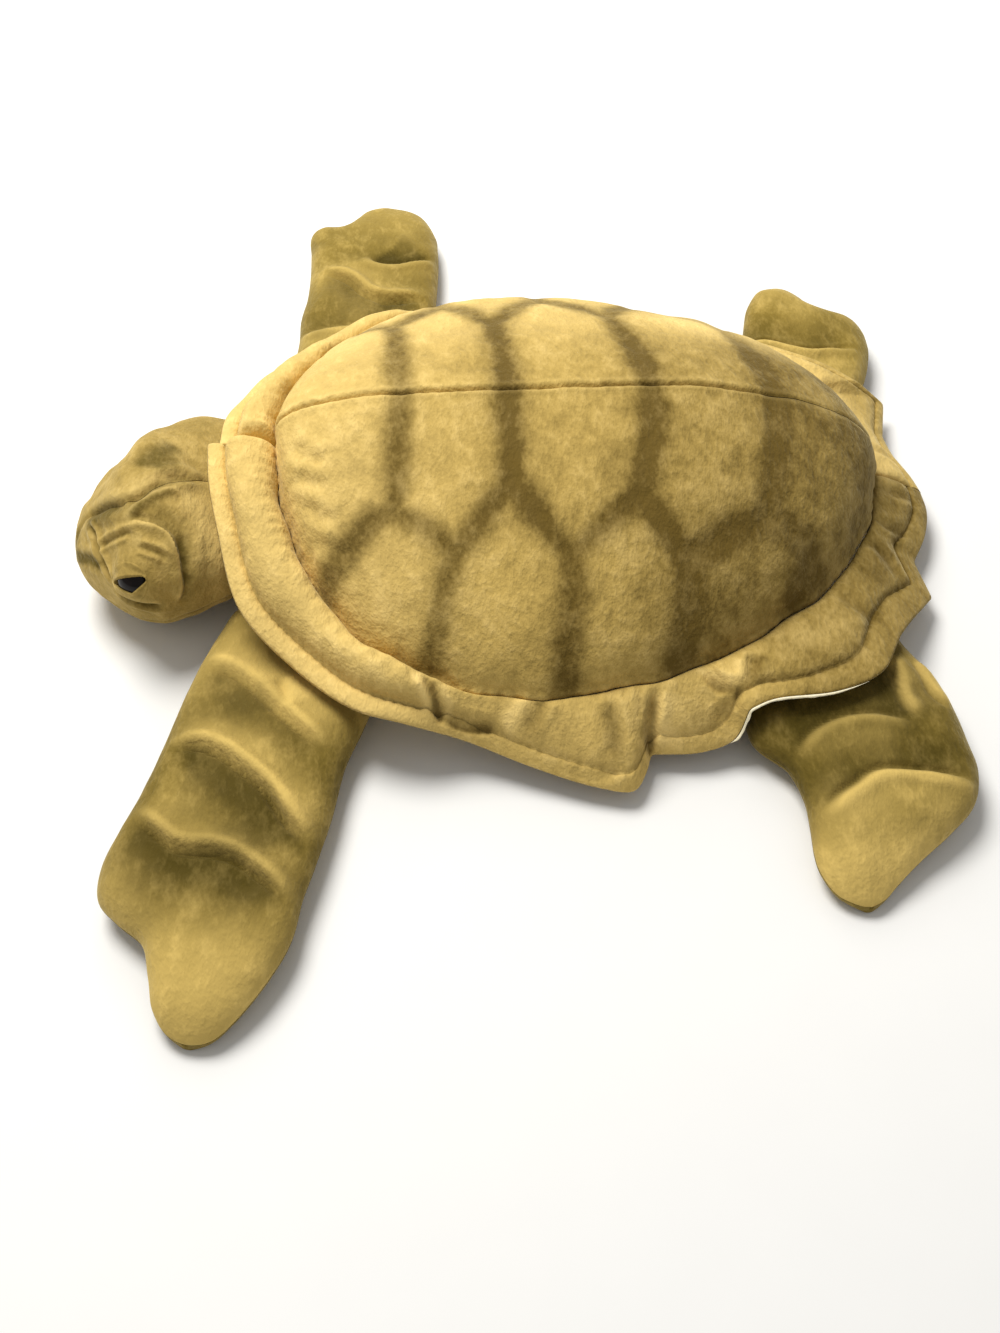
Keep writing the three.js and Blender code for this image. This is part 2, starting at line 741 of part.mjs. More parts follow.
// The right rear flipper's folded end has a notch between its two lobes.
const foldedRearOutlineShares = [
  [-0.4, 0.8, -0.8],
  [-0.1, 0.7, -1],
  [0.1, 0.56, -1.07],
  [0.28, 0.58, -1.05],
  [0.45, 0.66, -0.99],
  [0.6, 0.73, -0.9],
  [0.74, 0.75, -0.73],
  [0.82, 0.73, -0.5],
  [0.86, 0.7, -0.06],
  [0.93, 0.62, 0.09],
  [1, 0.42, 0.24],
];
const rearDepthShares = [
  [-0.4, 0.75],
  [0.1, 0.96],
  [0.26, 0.84],
  [0.4, 1],
  [0.55, 0.88],
  [0.72, 1],
  [0.86, 0.8],
  [1, 0.36],
];
const frontKind = {
  halfWidth: frontHalfWidth,
  thickness: frontThickness,
  outline: frontOutlineShares,
  depth: frontDepthShares,
};
const rearKind = {
  halfWidth: rearHalfWidth,
  thickness: rearThickness,
  outline: rearOutlineShares,
  depth: rearDepthShares,
};
const bentFrontKind = { ...frontKind, outline: bentFrontOutlineShares };
const foldedRearKind = { ...rearKind, outline: foldedRearOutlineShares };

// One edge of the flipper in plan, moved inwards by inset. Inward is +1 for the trailing edge.
function planEdge(kind, length, column, inset, inward) {
  const points = kind.outline.map(
    (row) => new THREE.Vector2(row[0] * length, row[column] * kind.halfWidth),
  );
  return points.map((point, i) => {
    const before = points[Math.max(0, i - 1)];
    const after = points[Math.min(points.length - 1, i + 1)];
    const run = after.clone().sub(before).normalize();
    const normal = new THREE.Vector2(-run.y, run.x).multiplyScalar(inward);
    if (i === 0) normal.set(0, inward);
    return point.clone().addScaledVector(normal, inset);
  });
}

// Arcs over or under the flipper, one for each station, from the leading to the trailing edge.
function flipperArcs(kind, length, inset, up, lift) {
  const leading = planEdge(kind, length, 1, inset, -1);
  const trailing = planEdge(kind, length, 2, inset, 1);
  return kind.outline.map(([along], row) => {
    const middle = (kind.thickness * columnAt(kind.depth, along, 1)) / 2;
    const rise = Math.max(middle - inset, gap);
    const arc = [];
    for (let i = 0; i <= flipperArcSteps; i++) {
      const turn = (Math.PI * i) / flipperArcSteps;
      const plan = leading[row].clone().lerp(trailing[row], (1 - Math.cos(turn)) / 2);
      const height = gap / 2 + middle + up * (lift + rise * Math.sin(turn));
      arc.push(new THREE.Vector3(plan.x, plan.y, height));
    }
    return arc;
  });
}

function placed(geometry, spec) {
  if (spec.side < 0) {
    geometry.scale(1, -1, 1);
    turnInsideOut(geometry.index.array);
  }
  const x = spec.rootAlongShare * (spec.rootAlongShare < 0 ? rimFrontReach : rimRearReach);
  const y = spec.side * spec.rootAcrossShare * rimSpan;
  return solidOf(geometry.rotateZ(spec.heading).translate(x, y, 0));
}

function flipperPanel(spec, up) {
  const outer = flipperArcs(spec.kind, spec.length, 0, up, gap / 2);
  const inner = flipperArcs(spec.kind, spec.length, cloth, up, gap / 2);
  return placed(bandLoft(outer.map((arc, row) => [...arc, ...inner[row].reverse()])), spec);
}

function flipperBody(spec, inset) {
  const over = flipperArcs(spec.kind, spec.length, inset, 1, 0);
  const under = flipperArcs(spec.kind, spec.length, inset, -1, 0);
  const rings = over.map((arc, row) => [...arc, ...under[row].slice(1, -1).reverse()]);
  return placed(loft(rings), spec);
}

// Each flipper: side of the shell, its root at the rim, where it points, its length, how far out along it
// its hinge lies, and the level direction that leads from the shell across that hinge.
const flippers = [
  {
    name: "front_left_flipper",
    kind: frontKind,
    side: -1,
    rootAlongShare: -0.742,
    rootAcrossShare: 0.61,
    heading: THREE.MathUtils.degToRad(-103),
    length: frontLength,
    hingeShare: 0.063,
    facing: THREE.MathUtils.degToRad(-134),
  },
  {
    name: "front_right_flipper",
    kind: bentFrontKind,
    side: 1,
    rootAlongShare: -0.611,
    rootAcrossShare: 0.674,
    heading: THREE.MathUtils.degToRad(79),
    length: frontLength,
    hingeShare: 0.1,
    facing: THREE.MathUtils.degToRad(109),
  },
  {
    name: "rear_left_flipper",
    kind: rearKind,
    side: -1,
    rootAlongShare: 0.645,
    rootAcrossShare: 0.674,
    heading: THREE.MathUtils.degToRad(-84),
    length: rearLength,
    hingeShare: 0.29,
    facing: THREE.MathUtils.degToRad(-82),
  },
  {
    name: "rear_right_flipper",
    kind: foldedRearKind,
    side: 1,
    rootAlongShare: 0.717,
    rootAcrossShare: 0.59,
    heading: THREE.MathUtils.degToRad(60),
    length: foldedRearLength,
    hingeShare: 0.1,
    facing: THREE.MathUtils.degToRad(58),
  },
];

const bellyAndGap = bellySolid(-gap, 0);
// The neck swings past the front flippers' hidden ends.
const neckAndSwing = block(
  vast,
  2 * neckHalfWidth + headSideStep + 2 * overrun,
  vast,
  neckTurnX - vast / 2 + neckRootRadius,
  -headSideStep,
  0,
);

function buildFlipper(spec) {
  const x = spec.rootAlongShare * (spec.rootAlongShare < 0 ? rimFrontReach : rimRearReach);
  const y = spec.side * spec.rootAcrossShare * rimSpan;
  const out = spec.hingeShare * spec.length;
  const hingeX = x + out * Math.cos(spec.heading);
  const hingeY = y + out * Math.sin(spec.heading);
  const hingeHeight = spec.kind.thickness / 2;
  const swinging = (clear) =>
    aheadOf(hingeX, hingeY, spec.facing).add(
      levelBar(hingeRadius + clear, hingeX, hingeY, hingeHeight, spec.facing),
    );
  const region = swinging(0);
  const piece = (solid) => geometryOf(largest(solid.intersect(region)));
  addNode(spec.name + "_upper", piece(flipperPanel(spec, 1)), limbPlush);
  addNode(spec.name + "_lower", piece(flipperPanel(spec, -1)), limbPlush);
  addNode(spec.name + "_wadding", piece(flipperBody(spec, cloth + paddingGap)), wadding);
  const root = flipperBody(spec, 0)
    .subtract(swinging(gap))
    .subtract(bellyAndGap)
    .subtract(neckAndSwing);
  addNode(spec.name + "_root", geometryOf(largest(root)), limbPlush);
}

// Assembly

const neckSpace = neckRoom();

function buildShell() {
  const cover = domeSolid(0, 0).subtract(domeSolid(cloth, overrun));
  const half = (side) => block(vast, vast, vast, 0, (side * (vast + gap)) / 2, 0);
  addNode("carapace_left_panel", geometryOf(largest(cover.intersect(half(-1)))), shellPlush);
  addNode("carapace_right_panel", geometryOf(largest(cover.intersect(half(1)))), shellPlush);

  const bowl = bellySolid(0, -gap).subtract(bellySolid(cloth, overrun)).subtract(neckSpace);
  addNode("belly_panel", geometryOf(largest(bowl)), bellyPlush);
  const filling = bellySolid(cloth + paddingGap, overrun)
    .add(domeSolid(cloth + paddingGap, 0))
    .subtract(neckSpace);
  addNode("body_wadding", geometryOf(largest(filling)), wadding);
}

function buildRim() {
  const shellAndGap = domeSolid(-gap, seamHeight + overrun);
  for (const [word, side, edgeShares] of [
    ["left", -1, leftEdgeShares],
    ["right", 1, rightEdgeShares],
  ]) {
    const stations = rimStations(edgeShares, side);
    const piece = (layer) => geometryOf(largest(rimSolid(stations, layer).subtract(shellAndGap)));
    addNode("rim_" + word + "_cover", piece(rimLayers.cover), shellPlush);
    addNode("rim_" + word + "_wadding", piece(rimLayers.wadding), wadding);
    addNode("rim_" + word + "_underside", piece(rimLayers.underside), shellPlush);
  }
}

function buildNeck() {
  const nodding = solidOf(inHeadFrame(geometryOf(noddingRegion(gap))));
  const keep = turningRegion().subtract(nodding);
  const sleeve = neckSolid(0).subtract(neckSolid(cloth)).intersect(keep);
  addNode("neck_sleeve", geometryOf(largest(sleeve)), limbPlush);
  const filling = neckSolid(cloth + paddingGap).intersect(keep);
  addNode("neck_wadding", geometryOf(largest(filling)), wadding);
}

function buildHead() {
  const region = noddingRegion(0);
  let cover = headSolid(0).intersect(region).subtract(headSolid(cloth));
  let filling = headSolid(cloth + paddingGap).intersect(region);
  for (const [word, side] of [
    ["left", 1],
    ["right", -1],
  ]) {
    const frame = eyeFrame(side);
    const socket = solidOf(eyeGeometry(gap).applyMatrix4(frame)).add(
      solidOf(washerRoom().applyMatrix4(frame)),
    );
    cover = cover.subtract(socket);
    filling = filling.subtract(socket);
    addNode("eye_" + word, inHeadFrame(eyeGeometry(0).applyMatrix4(frame)), eyePlastic);
    const washer = washerGeometry().applyMatrix4(frame);
    addNode("eye_washer_" + word, inHeadFrame(washer), washerPlastic);
  }
  const below = block(vast, vast, vast, 0, 0, mouthHeight - (vast + gap) / 2);
  const above = block(vast, vast, vast, 0, 0, mouthHeight + (vast + gap) / 2);
  const half = (side) => block(vast, vast, vast, 0, (side * (vast + gap)) / 2, 0);
  const piece = (solid) => inHeadFrame(geometryOf(largest(solid)));
  const crown = cover.intersect(above);
  addNode("chin_panel", piece(cover.intersect(below)), limbPlush);
  addNode("head_left_panel", piece(crown.intersect(half(1))), limbPlush);
  addNode("head_right_panel", piece(crown.intersect(half(-1))), limbPlush);
  addNode("head_wadding", piece(filling), wadding);
}

buildShell();
buildRim();
buildNeck();
buildHead();
for (const spec of flippers) buildFlipper(spec);

export default turtle;
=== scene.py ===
import math

import bpy
import numpy as np
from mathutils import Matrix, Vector


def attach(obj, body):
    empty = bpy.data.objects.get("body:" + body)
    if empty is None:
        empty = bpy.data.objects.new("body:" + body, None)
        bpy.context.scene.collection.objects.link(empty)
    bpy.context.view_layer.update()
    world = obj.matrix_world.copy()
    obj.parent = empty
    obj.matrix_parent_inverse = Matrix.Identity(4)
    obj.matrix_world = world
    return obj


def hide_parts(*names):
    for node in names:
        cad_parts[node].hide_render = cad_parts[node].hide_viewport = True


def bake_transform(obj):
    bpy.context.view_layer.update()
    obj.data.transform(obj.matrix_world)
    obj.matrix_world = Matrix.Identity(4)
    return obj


# Dresses a plush sea turtle that lies on its belly. Shapes are worked out in millimetres and stored in metres.
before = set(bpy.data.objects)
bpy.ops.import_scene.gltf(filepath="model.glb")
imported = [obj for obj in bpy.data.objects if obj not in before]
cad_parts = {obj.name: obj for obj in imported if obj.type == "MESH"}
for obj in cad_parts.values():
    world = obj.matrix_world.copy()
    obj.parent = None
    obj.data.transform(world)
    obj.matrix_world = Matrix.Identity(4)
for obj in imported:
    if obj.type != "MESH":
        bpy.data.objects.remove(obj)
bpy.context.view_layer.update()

MM = 0.001
CLOTH = 3.0  # how deep the padded pieces' insides lie under their outsides
LINE_STEP = 3.0  # how closely lines drawn on the cloth are followed

# Curves and noise.


def ease(x, start, end):
    """0 before start, 1 after end, smooth between."""
    t = np.clip((np.asarray(x, float) - start) / (end - start), 0, 1)
    return t * t * (3 - 2 * t)


def bump(x, middle, width):
    return np.exp(-(((np.asarray(x, float) - middle) / width) ** 2))


# Large odd numbers that scramble a place into a number that looks random, and 32 bits to hold it.
STRIDES, SEED_STRIDE, SCRAMBLE, WORD = np.array([374761393, 668265263, 2246822519]), 974634777, 1274126177, 0xFFFFFFFF


def lattice(cell, seed):
    """A number from -1 to 1 for each corner of the noise's lattice."""
    h = (cell @ STRIDES + seed * SEED_STRIDE) & WORD
    h = ((h ^ (h >> 13)) * SCRAMBLE) & WORD
    return ((h ^ (h >> 16)) & 0xFFFFFF) / 0xFFFFFF * 2 - 1


def ripple(points, size, seed=0):
    """Smooth noise from -1 to 1 whose bumps are about size across."""
    q = points / size + 100
    cell = np.floor(q).astype(np.int64)
    f = q - cell
    f = f * f * f * (f * (f * 6 - 15) + 10)
    total = 0
    for corner in range(8):
        step = np.array([corner & 1, corner >> 1 & 1, corner >> 2 & 1])
        share = np.prod(np.where(step, f, 1 - f), axis=-1)
        total = total + share * lattice(cell + step, seed)
    return total


def ripples(points, *waves):
    """The sum of ripples that are each given by height, size and seed."""
    return sum(height * ripple(points, size, seed) for height, size, seed in waves)


def hermite(t, a, b, leave, arrive):
    """From a to b at the shares t, with the slopes at both ends."""
    t2, t3 = t * t, t * t * t
    return (2 * t3 - 3 * t2 + 1) * a + (t3 - 2 * t2 + t) * leave + (3 * t2 - 2 * t3) * b + (t3 - t2) * arrive


def through(x, y, at):
    """A smooth curve through (x, y) that never overshoots, at the places at."""
    x, y, at = np.asarray(x, float), np.asarray(y, float), np.asarray(at, float)
    h, d = np.diff(x), np.diff(y) / np.diff(x)
    m = np.zeros_like(y)
    a, b = 2 * h[1:] + h[:-1], h[1:] + 2 * h[:-1]
    rising = d[:-1] * d[1:] > 0
    safe = np.where(rising, d[:-1], 1), np.where(rising, d[1:], 1)
    m[1:-1] = np.where(rising, (a + b) / (a / safe[0] + b / safe[1]), 0)
    m[0], m[-1] = d[0], d[-1]
    i = np.clip(np.searchsorted(x, at) - 1, 0, len(x) - 2)
    return hermite((at - x[i]) / h[i], y[i], y[i + 1], h[i] * m[i], h[i] * m[i + 1])


def rounded(points, step):
    """A smooth line through the points, with a sample about every step."""
    p = np.asarray(points, float)
    p = np.vstack([2 * p[0] - p[1], p, 2 * p[-1] - p[-2]])
    found = []
    for a, b, c, d in zip(p[:-3], p[1:-2], p[2:-1], p[3:]):
        k0, k1, k2 = (max(np.linalg.norm(way), 1e-6) ** 0.5 for way in (b - a, c - b, d - c))
        leave = k1 * ((b - a) / k0 - (c - a) / (k0 + k1) + (c - b) / k1)
        arrive = k1 * ((c - b) / k1 - (d - b) / (k1 + k2) + (d - c) / k2)
        count = max(2, int(math.ceil(np.linalg.norm(c - b) / step)))
        found.append(hermite(np.arange(count)[:, None] / count, b, c, leave, arrive))
    found.append(p[-2][None])
    return np.vstack(found)


def run_along(line):
    """How far along the line each of its points lies."""
    return np.concatenate([[0], np.cumsum(np.linalg.norm(np.diff(line, axis=0), axis=1))])


def respaced(line, at):
    """The line at the shares at of its length, or at that many even places."""
    run = run_along(line)
    at = np.linspace(0, 1, at) if isinstance(at, int) else at
    return np.stack([np.interp(at * run[-1], run, column) for column in line.T], 1)


def crowded(start, count, bend):
    """Shares from start to 1 that lie closer together toward 1."""
    return np.sin(np.linspace(start, 1, count) * math.pi / 2 * bend) / math.sin(math.pi / 2 * bend)


def turns(count):
    return np.linspace(0, 2 * math.pi, count + 1)[:-1]


def unit(v):
    return v / np.maximum(np.linalg.norm(v, axis=-1, keepdims=True), 1e-9)


def heading(degrees):
    """The unit vector in plan that points that way."""
    return np.array([math.cos(math.radians(degrees)), math.sin(math.radians(degrees))])


def near(points, line):
    """How far each point is from the line, and at which share of the line's length."""
    line = np.asarray(line, float)
    flat = points.reshape(-1, points.shape[-1])
    best, share = np.full(len(flat), 1e9), np.zeros(len(flat))
    lengths = np.linalg.norm(np.diff(line, axis=0), axis=1)
    passed, total = 0.0, lengths.sum()
    for a, b, length in zip(line[:-1], line[1:], lengths):
        if length < 1e-9:
            continue
        t = np.clip((flat - a) @ (b - a) / length**2, 0, 1)
        away = np.linalg.norm(flat - a - t[:, None] * (b - a), axis=1)
        closer = away < best
        best[closer] = away[closer]
        share[closer] = ((passed + t * length) / total)[closer]
        passed += length
    return best.reshape(points.shape[:-1]), share.reshape(points.shape[:-1])


def beside(points, line, fade):
    """How far each point is from the smoothed line, and 1 along the line but less toward its ends."""
    away, share = near(points, rounded(line, LINE_STEP))
    return away, ease(share, -0.02, fade) * ease(1 - share, -0.02, fade) if fade else 1


def groove(points, line, depth, width, lips=0.35, fade=0.18):
    """Inward push along a line, with a soft lip on both sides, fading at the line's ends."""
    away, ends = beside(points, line, fade)
    return ends * (-depth * bump(away, 0, width) + depth * lips * bump(away, 2.1 * width, width))


def stain(points, line, width, fade=0.0):
    """1 on a line and less away from it."""
    away, ends = beside(points, line, fade)
    return ends * bump(away, 0, width)


def normals_of(grid, outward):
    """Unit normals of a grid of points, on the side of the vectors in outward."""
    n = unit(np.cross(np.gradient(grid, axis=0), np.gradient(grid, axis=1)))
    return np.where(np.sum(n * outward, axis=-1, keepdims=True) < 0, -n, n)


# Meshes.


def quads(index, turned=False):
    a, b, c, d = index[:-1, :-1], index[1:, :-1], index[1:, 1:], index[:-1, 1:]
    found = np.stack([a.ravel(), b.ravel(), c.ravel(), d.ravel()], 1)
    return found[:, ::-1] if turned else found


def tube_index(rows, count):
    """Indices of rows of count points, with each row's first point again at its end."""
    index = np.arange(rows * count).reshape(rows, count)
    return np.hstack([index, index[:, :1]])


def share_border(grid, other):
    """Put a grid's border on the border of another."""
    grid[:, 0], grid[:, -1] = other[:, 0], other[:, -1]
    grid[0], grid[-1] = other[0], other[-1]


def closed(top, bottom):
    """Points and faces of a body between two grids that share their border."""
    rows, columns = top.shape[:2]
    index = np.arange(rows * columns).reshape(rows, columns)
    under = index.copy()
    under[1:-1, 1:-1] = rows * columns + np.arange((rows - 2) * (columns - 2)).reshape(rows - 2, columns - 2)
    points = np.vstack([top.reshape(-1, 3), bottom[1:-1, 1:-1].reshape(-1, 3)])
    faces = np.vstack([quads(index), quads(under, True)])
    p, q, r, s = (points[faces[:, corner]] for corner in range(4))
    volume = np.sum(p * np.cross(q, r)) + np.sum(p * np.cross(r, s))
    return points, faces if volume > 0 else faces[:, ::-1]


def spread(values):
    """Values of a grid for the points that closed() gives."""
    return np.concatenate([values.ravel(), values[1:-1, 1:-1].ravel()])


def piece(name, points, faces, **values):
    """A smooth mesh object from points in millimetres, with one number per point for each value."""
    mesh = bpy.data.meshes.new(name)
    mesh.from_pydata((points * MM).tolist(), [], faces if isinstance(faces, list) else faces.tolist())
    mesh.polygons.foreach_set("use_smooth", np.ones(len(mesh.polygons), bool))
    rest = mesh.attributes.new("rest", "FLOAT_VECTOR", "POINT")
    rest.data.foreach_set("vector", (points * MM).astype(np.float32).ravel())
    # The dark attribute carries airbrushed colour and painted shade, the light attribute painted highlights.
    for key in ("dark", "light"):
        made = mesh.attributes.new(key, "FLOAT", "POINT")
        found = np.clip(values.get(key, 0) + np.zeros(len(points)), 0, 1)
        made.data.foreach_set("value", found.astype(np.float32))
    mesh.update()
    obj = bpy.data.objects.new(name, mesh)
    bpy.context.scene.collection.objects.link(obj)
    return obj


# Materials.


class Nodes:
    """The node tree of one material."""

    def __init__(self, name):
        self.material = bpy.data.materials.new(name)
        self.material.use_nodes = True
        self.tree = self.material.node_tree
        self.tree.nodes.clear()
        self.shader = self.add("ShaderNodeBsdfPrincipled")
        self.add("ShaderNodeOutputMaterial", {"Surface": self.shader.outputs["BSDF"]})

    def add(self, kind, inputs=None, **settings):
        node = self.tree.nodes.new(kind)
        for key, value in settings.items():
            setattr(node, key, value)
        self.feed(node, inputs or {})
        return node

    def feed(self, node, inputs):
        """Join a node's inputs to other nodes' outputs, or set them to constants."""
        for key, value in inputs.items():
            if isinstance(value, bpy.types.NodeSocket):
                self.tree.links.new(value, node.inputs[key])
            else:
                node.inputs[key].default_value = value

    def attribute(self, name, output="Fac"):
        return self.add("ShaderNodeAttribute", attribute_name=name).outputs[output]

    def noise(self, where, size, detail=2.0, rough=0.5, stretch=None):
        """Noise whose bumps are about size metres across."""
        if stretch:
            turn, scale = stretch
            mapping = self.add("ShaderNodeMapping", {"Vector": where, "Rotation": turn, "Scale": scale})
            where = mapping.outputs["Vector"]
        inputs = {"Vector": where, "Scale": 0.6 / size, "Detail": detail, "Roughness": rough}
        return self.add("ShaderNodeTexNoise", inputs).outputs["Fac"]

    def range(self, value, low, high, to_low=0.0, to_high=1.0):
        inputs = {"Value": value, "From Min": low, "From Max": high, "To Min": to_low, "To Max": to_high}
        return self.add("ShaderNodeMapRange", inputs).outputs["Result"]

    def maths(self, kind, a, b, clamp=False):
        return self.add("ShaderNodeMath", {0: a, 1: b}, operation=kind, use_clamp=clamp).outputs[0]

    def mix(self, share, a, b):
        """A colour between a and b."""
        return self.add("ShaderNodeMix", {0: share, 6: a, 7: b}, data_type="RGBA").outputs[2]

    def look(self, base, rough, **others):
        """Give the shader its inputs, whose names are written here with _ for each space."""
        self.feed(self.shader, {"Base Color": base, "Roughness": rough})
        self.feed(self.shader, {key.replace("_", " "): value for key, value in others.items()})

    def bumps(self, height, strength, distance):
        relief = self.add("ShaderNodeBump", {"Height": height, "Strength": strength, "Distance": distance})
        self.feed(self.shader, {"Normal": relief.outputs["Normal"]})


def colour(r, g, b):
    """A linear colour from the three numbers that a picture would store."""
    return tuple(((c / 255 + 0.055) / 1.055) ** 2.4 if c > 10 else c / 255 / 12.92 for c in (r, g, b)) + (1.0,)


def plush(name, middle, shade, painted_highlight, mottle, pile, sheen, seed=0.0):
    """Short plush: nap in patches, tufts and fibres, darkened by airbrush and painted shade, lit by painted highlights.
    """
    n = Nodes(name)
    middle, shade, painted_highlight = colour(*middle), colour(*shade), colour(*painted_highlight)
    rest, dark, light = n.attribute("rest", "Vector"), n.attribute("dark"), n.attribute("light")
    shift = n.add("ShaderNodeVectorMath", {0: rest, 1: (seed, seed * 0.7, seed * 1.3)}, operation="ADD")
    where = shift.outputs[0]
    nap = n.noise(where, 0.017, 4.0, 0.62)
    tufts = n.noise(where, 0.0046, 3.0, 0.65, ((0.5, 0.3, 0.9), (1.0, 0.55, 1.0)))
    fibres = n.noise(where, 0.0013, 2.0, 0.6, ((0.2, 0.5, 0.7), (1.0, 0.5, 1.0)))
    worn = n.noise(where, 0.05)
    lay = n.range(nap, 0.33, 0.67, -0.5, 0.5)
    for grain, low, high, reach in ((tufts, 0.33, 0.67, 0.45), (fibres, 0.3, 0.7, 0.3), (worn, 0.3, 0.7, 0.3)):
        lay = n.maths("ADD", lay, n.range(grain, low, high, -reach, reach))
    lay = n.maths("MULTIPLY", lay, 0.5 * mottle)
    # down mixes in the shade colour (airbrushed colour and painted shade); up mixes in the painted highlight colour.
    down = n.maths("ADD", dark, n.maths("MULTIPLY", n.maths("MINIMUM", lay, 0.0), -0.8), True)
    up = n.maths("ADD", light, n.maths("MAXIMUM", lay, 0.0), True)
    up = n.maths("MULTIPLY", up, n.range(dark, 0.0, 1.0, 1.0, 0.35))
    height = n.maths("ADD", tufts, n.maths("MULTIPLY", fibres, 0.5))
    height = n.maths("ADD", height, n.maths("MULTIPLY", nap, 1.3))
    n.bumps(height, 0.9 * pile, 0.0022)
    base, rough = n.mix(up, n.mix(down, middle, shade), painted_highlight), n.range(tufts, 0.3, 0.7, 0.97, 0.8)
    n.look(base, rough, Specular_IOR_Level=0.15, Sheen_Weight=sheen, Sheen_Roughness=0.4, Sheen_Tint=(1, 0.86, 0.5, 1))
    return n.material


def gloss_black(name):
    n = Nodes(name)
    smear = n.noise(n.attribute("rest", "Vector"), 0.004, 3.0)
    base = n.mix(n.range(smear, 0.4, 0.7), (0.004, 0.003, 0.003, 1), (0.012, 0.007, 0.006, 1))
    rough = n.range(smear, 0.35, 0.7, 0.06, 0.16)
    n.look(base, rough, Specular_IOR_Level=0.15, Coat_Weight=0.04, Coat_Roughness=0.05)
    return n.material


def milky_plastic(name):
    n = Nodes(name)
    cloud = n.noise(n.add("ShaderNodeTexCoord").outputs["Object"], 0.003, 3.0)
    n.look(n.mix(cloud, (0.62, 0.6, 0.55, 1), (0.78, 0.76, 0.7, 1)), n.range(cloud, 0.3, 0.7, 0.4, 0.6))
    return n.material


def raw_edge(name):
    n = Nodes(name)
    threads = n.noise(n.attribute("rest", "Vector"), 0.0012, 3.0, 0.6, ((0, 0, 0.4), (1.0, 0.25, 1.0)))
    n.bumps(threads, 0.8, 0.0008)
    base = n.mix(threads, colour(236, 222, 178), colour(255, 250, 226))
    n.look(base, n.range(threads, 0.3, 0.7, 0.98, 0.85))
    return n.material


# Each plush: middle colour, the colour of airbrush and painted shade, the colour of painted highlights, then mottle,
# pile, sheen and seed.
shell_plush = plush("shell_plush", (198, 168, 92), (102, 82, 32), (244, 212, 134), 0.85, 0.7, 0.3)
limb_plush = plush("limb_plush", (142, 120, 52), (72, 60, 12), (230, 198, 114), 0.6, 0.5, 0.35, 0.31)
head_plush = plush("head_plush", (180, 152, 82), (96, 80, 26), (232, 202, 126), 0.85, 0.55, 0.3, 0.17)
belly_plush = plush("belly_plush", (206, 182, 120), (150, 124, 66), (238, 214, 154), 0.9, 1.0, 0.3, 0.53)
eye_plastic = gloss_black("eye_plastic")
washer_plastic = milky_plastic("washer_plastic")
cut_edge = raw_edge("cut_edge")


def dress(obj, material, slot, fill, *nodes):
    obj.data.materials.append(material)
    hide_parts(*nodes)


# Dome and belly.

DOME_X, DOME_FRONT, DOME_REAR, DOME_WIDE, RIDGE = -16.0, 135.0, 188.0, 150.0, 103.0
# Height of the dome's lower seam, its height at the very front, its drop at the rear, and how far these two reach.
SEAM, SEAM_FRONT, SEAM_DROP, CLIMB_RUN, DROP_RUN = 36.0, 62.0, 5.0, 48.0, 70.0
# Powers of the rounded outlines in plan, from the side and across.
PLAN_FRONT, PLAN_REAR, PROFILE_FRONT, PROFILE_REAR, SECTION = 2.2, 1.8, 5.0, 2.6, 1.75
BESIDE_RIDGE = [0, 0.0016, 0.0034, 0.0056, 0.0084, 0.012, 0.0165]  # close rows that make the ridge seam sharp
SEAM_RUN = 110.0  # about how far it is from the dome's middle down to its seam
HALF_GAP = 0.2  # how far each half's cloth stays from the middle plane
STITCH = 6.5  # length of a hand-sewn stitch on the ridge and the hem


def round_share(x, front_power, rear_power):
    along = x - DOME_X
    reach, power = np.where(along < 0, DOME_FRONT, DOME_REAR), np.where(along < 0, front_power, rear_power)
    away = np.minimum(1, np.abs(along) / reach)
    return (1 - away**power) ** (1 / power)


def seam_height(x):
    front = np.clip((DOME_X - DOME_FRONT + CLIMB_RUN - x) / CLIMB_RUN, 0, 1)
    rear = np.clip((x - DOME_X - DOME_REAR + DROP_RUN) / DROP_RUN, 0, 1)
    return SEAM + (SEAM_FRONT - SEAM) * front**2 - SEAM_DROP * rear**2


def seam_wave(x, y):
    """How the dome's lower seam wanders in and out, as a share of its reach."""
    turn = np.arctan2(y, x)
    return 1 + 0.004 * np.sin(11 * turn + 1) + 0.0045 * np.sin(19 * turn) + 0.003 * np.sin(31 * turn + 2)


def plan_disc(u, v):
    """Places in the dome's plan from two shares, u from front (-1) to rear (1) and v from the ridge to the seam."""
    a, b = u * np.sqrt(1 - v**2 / 2), v * np.sqrt(1 - u**2 / 2)
    share, turn = np.minimum(1, np.hypot(a, b)), np.arctan2(b, a)
    c, s = np.cos(turn), np.sin(turn)
    power = np.where(c < 0, PLAN_FRONT, PLAN_REAR)
    size = (np.abs(c) ** power + np.abs(s) ** power) ** (-1 / power)
    return share, c * size * np.where(c < 0, DOME_FRONT, DOME_REAR), s * size * DOME_WIDE


def dome_height(x, y):
    wide = np.maximum(DOME_WIDE * round_share(x, PLAN_FRONT, PLAN_REAR), 1e-3)
    high = round_share(x, PROFILE_FRONT, PROFILE_REAR)
    seam = seam_height(x)
    t = np.clip(np.abs(y) / wide, 0, 1)
    return seam + (RIDGE - seam) * high * (1 - t**SECTION) ** (1 / SECTION)


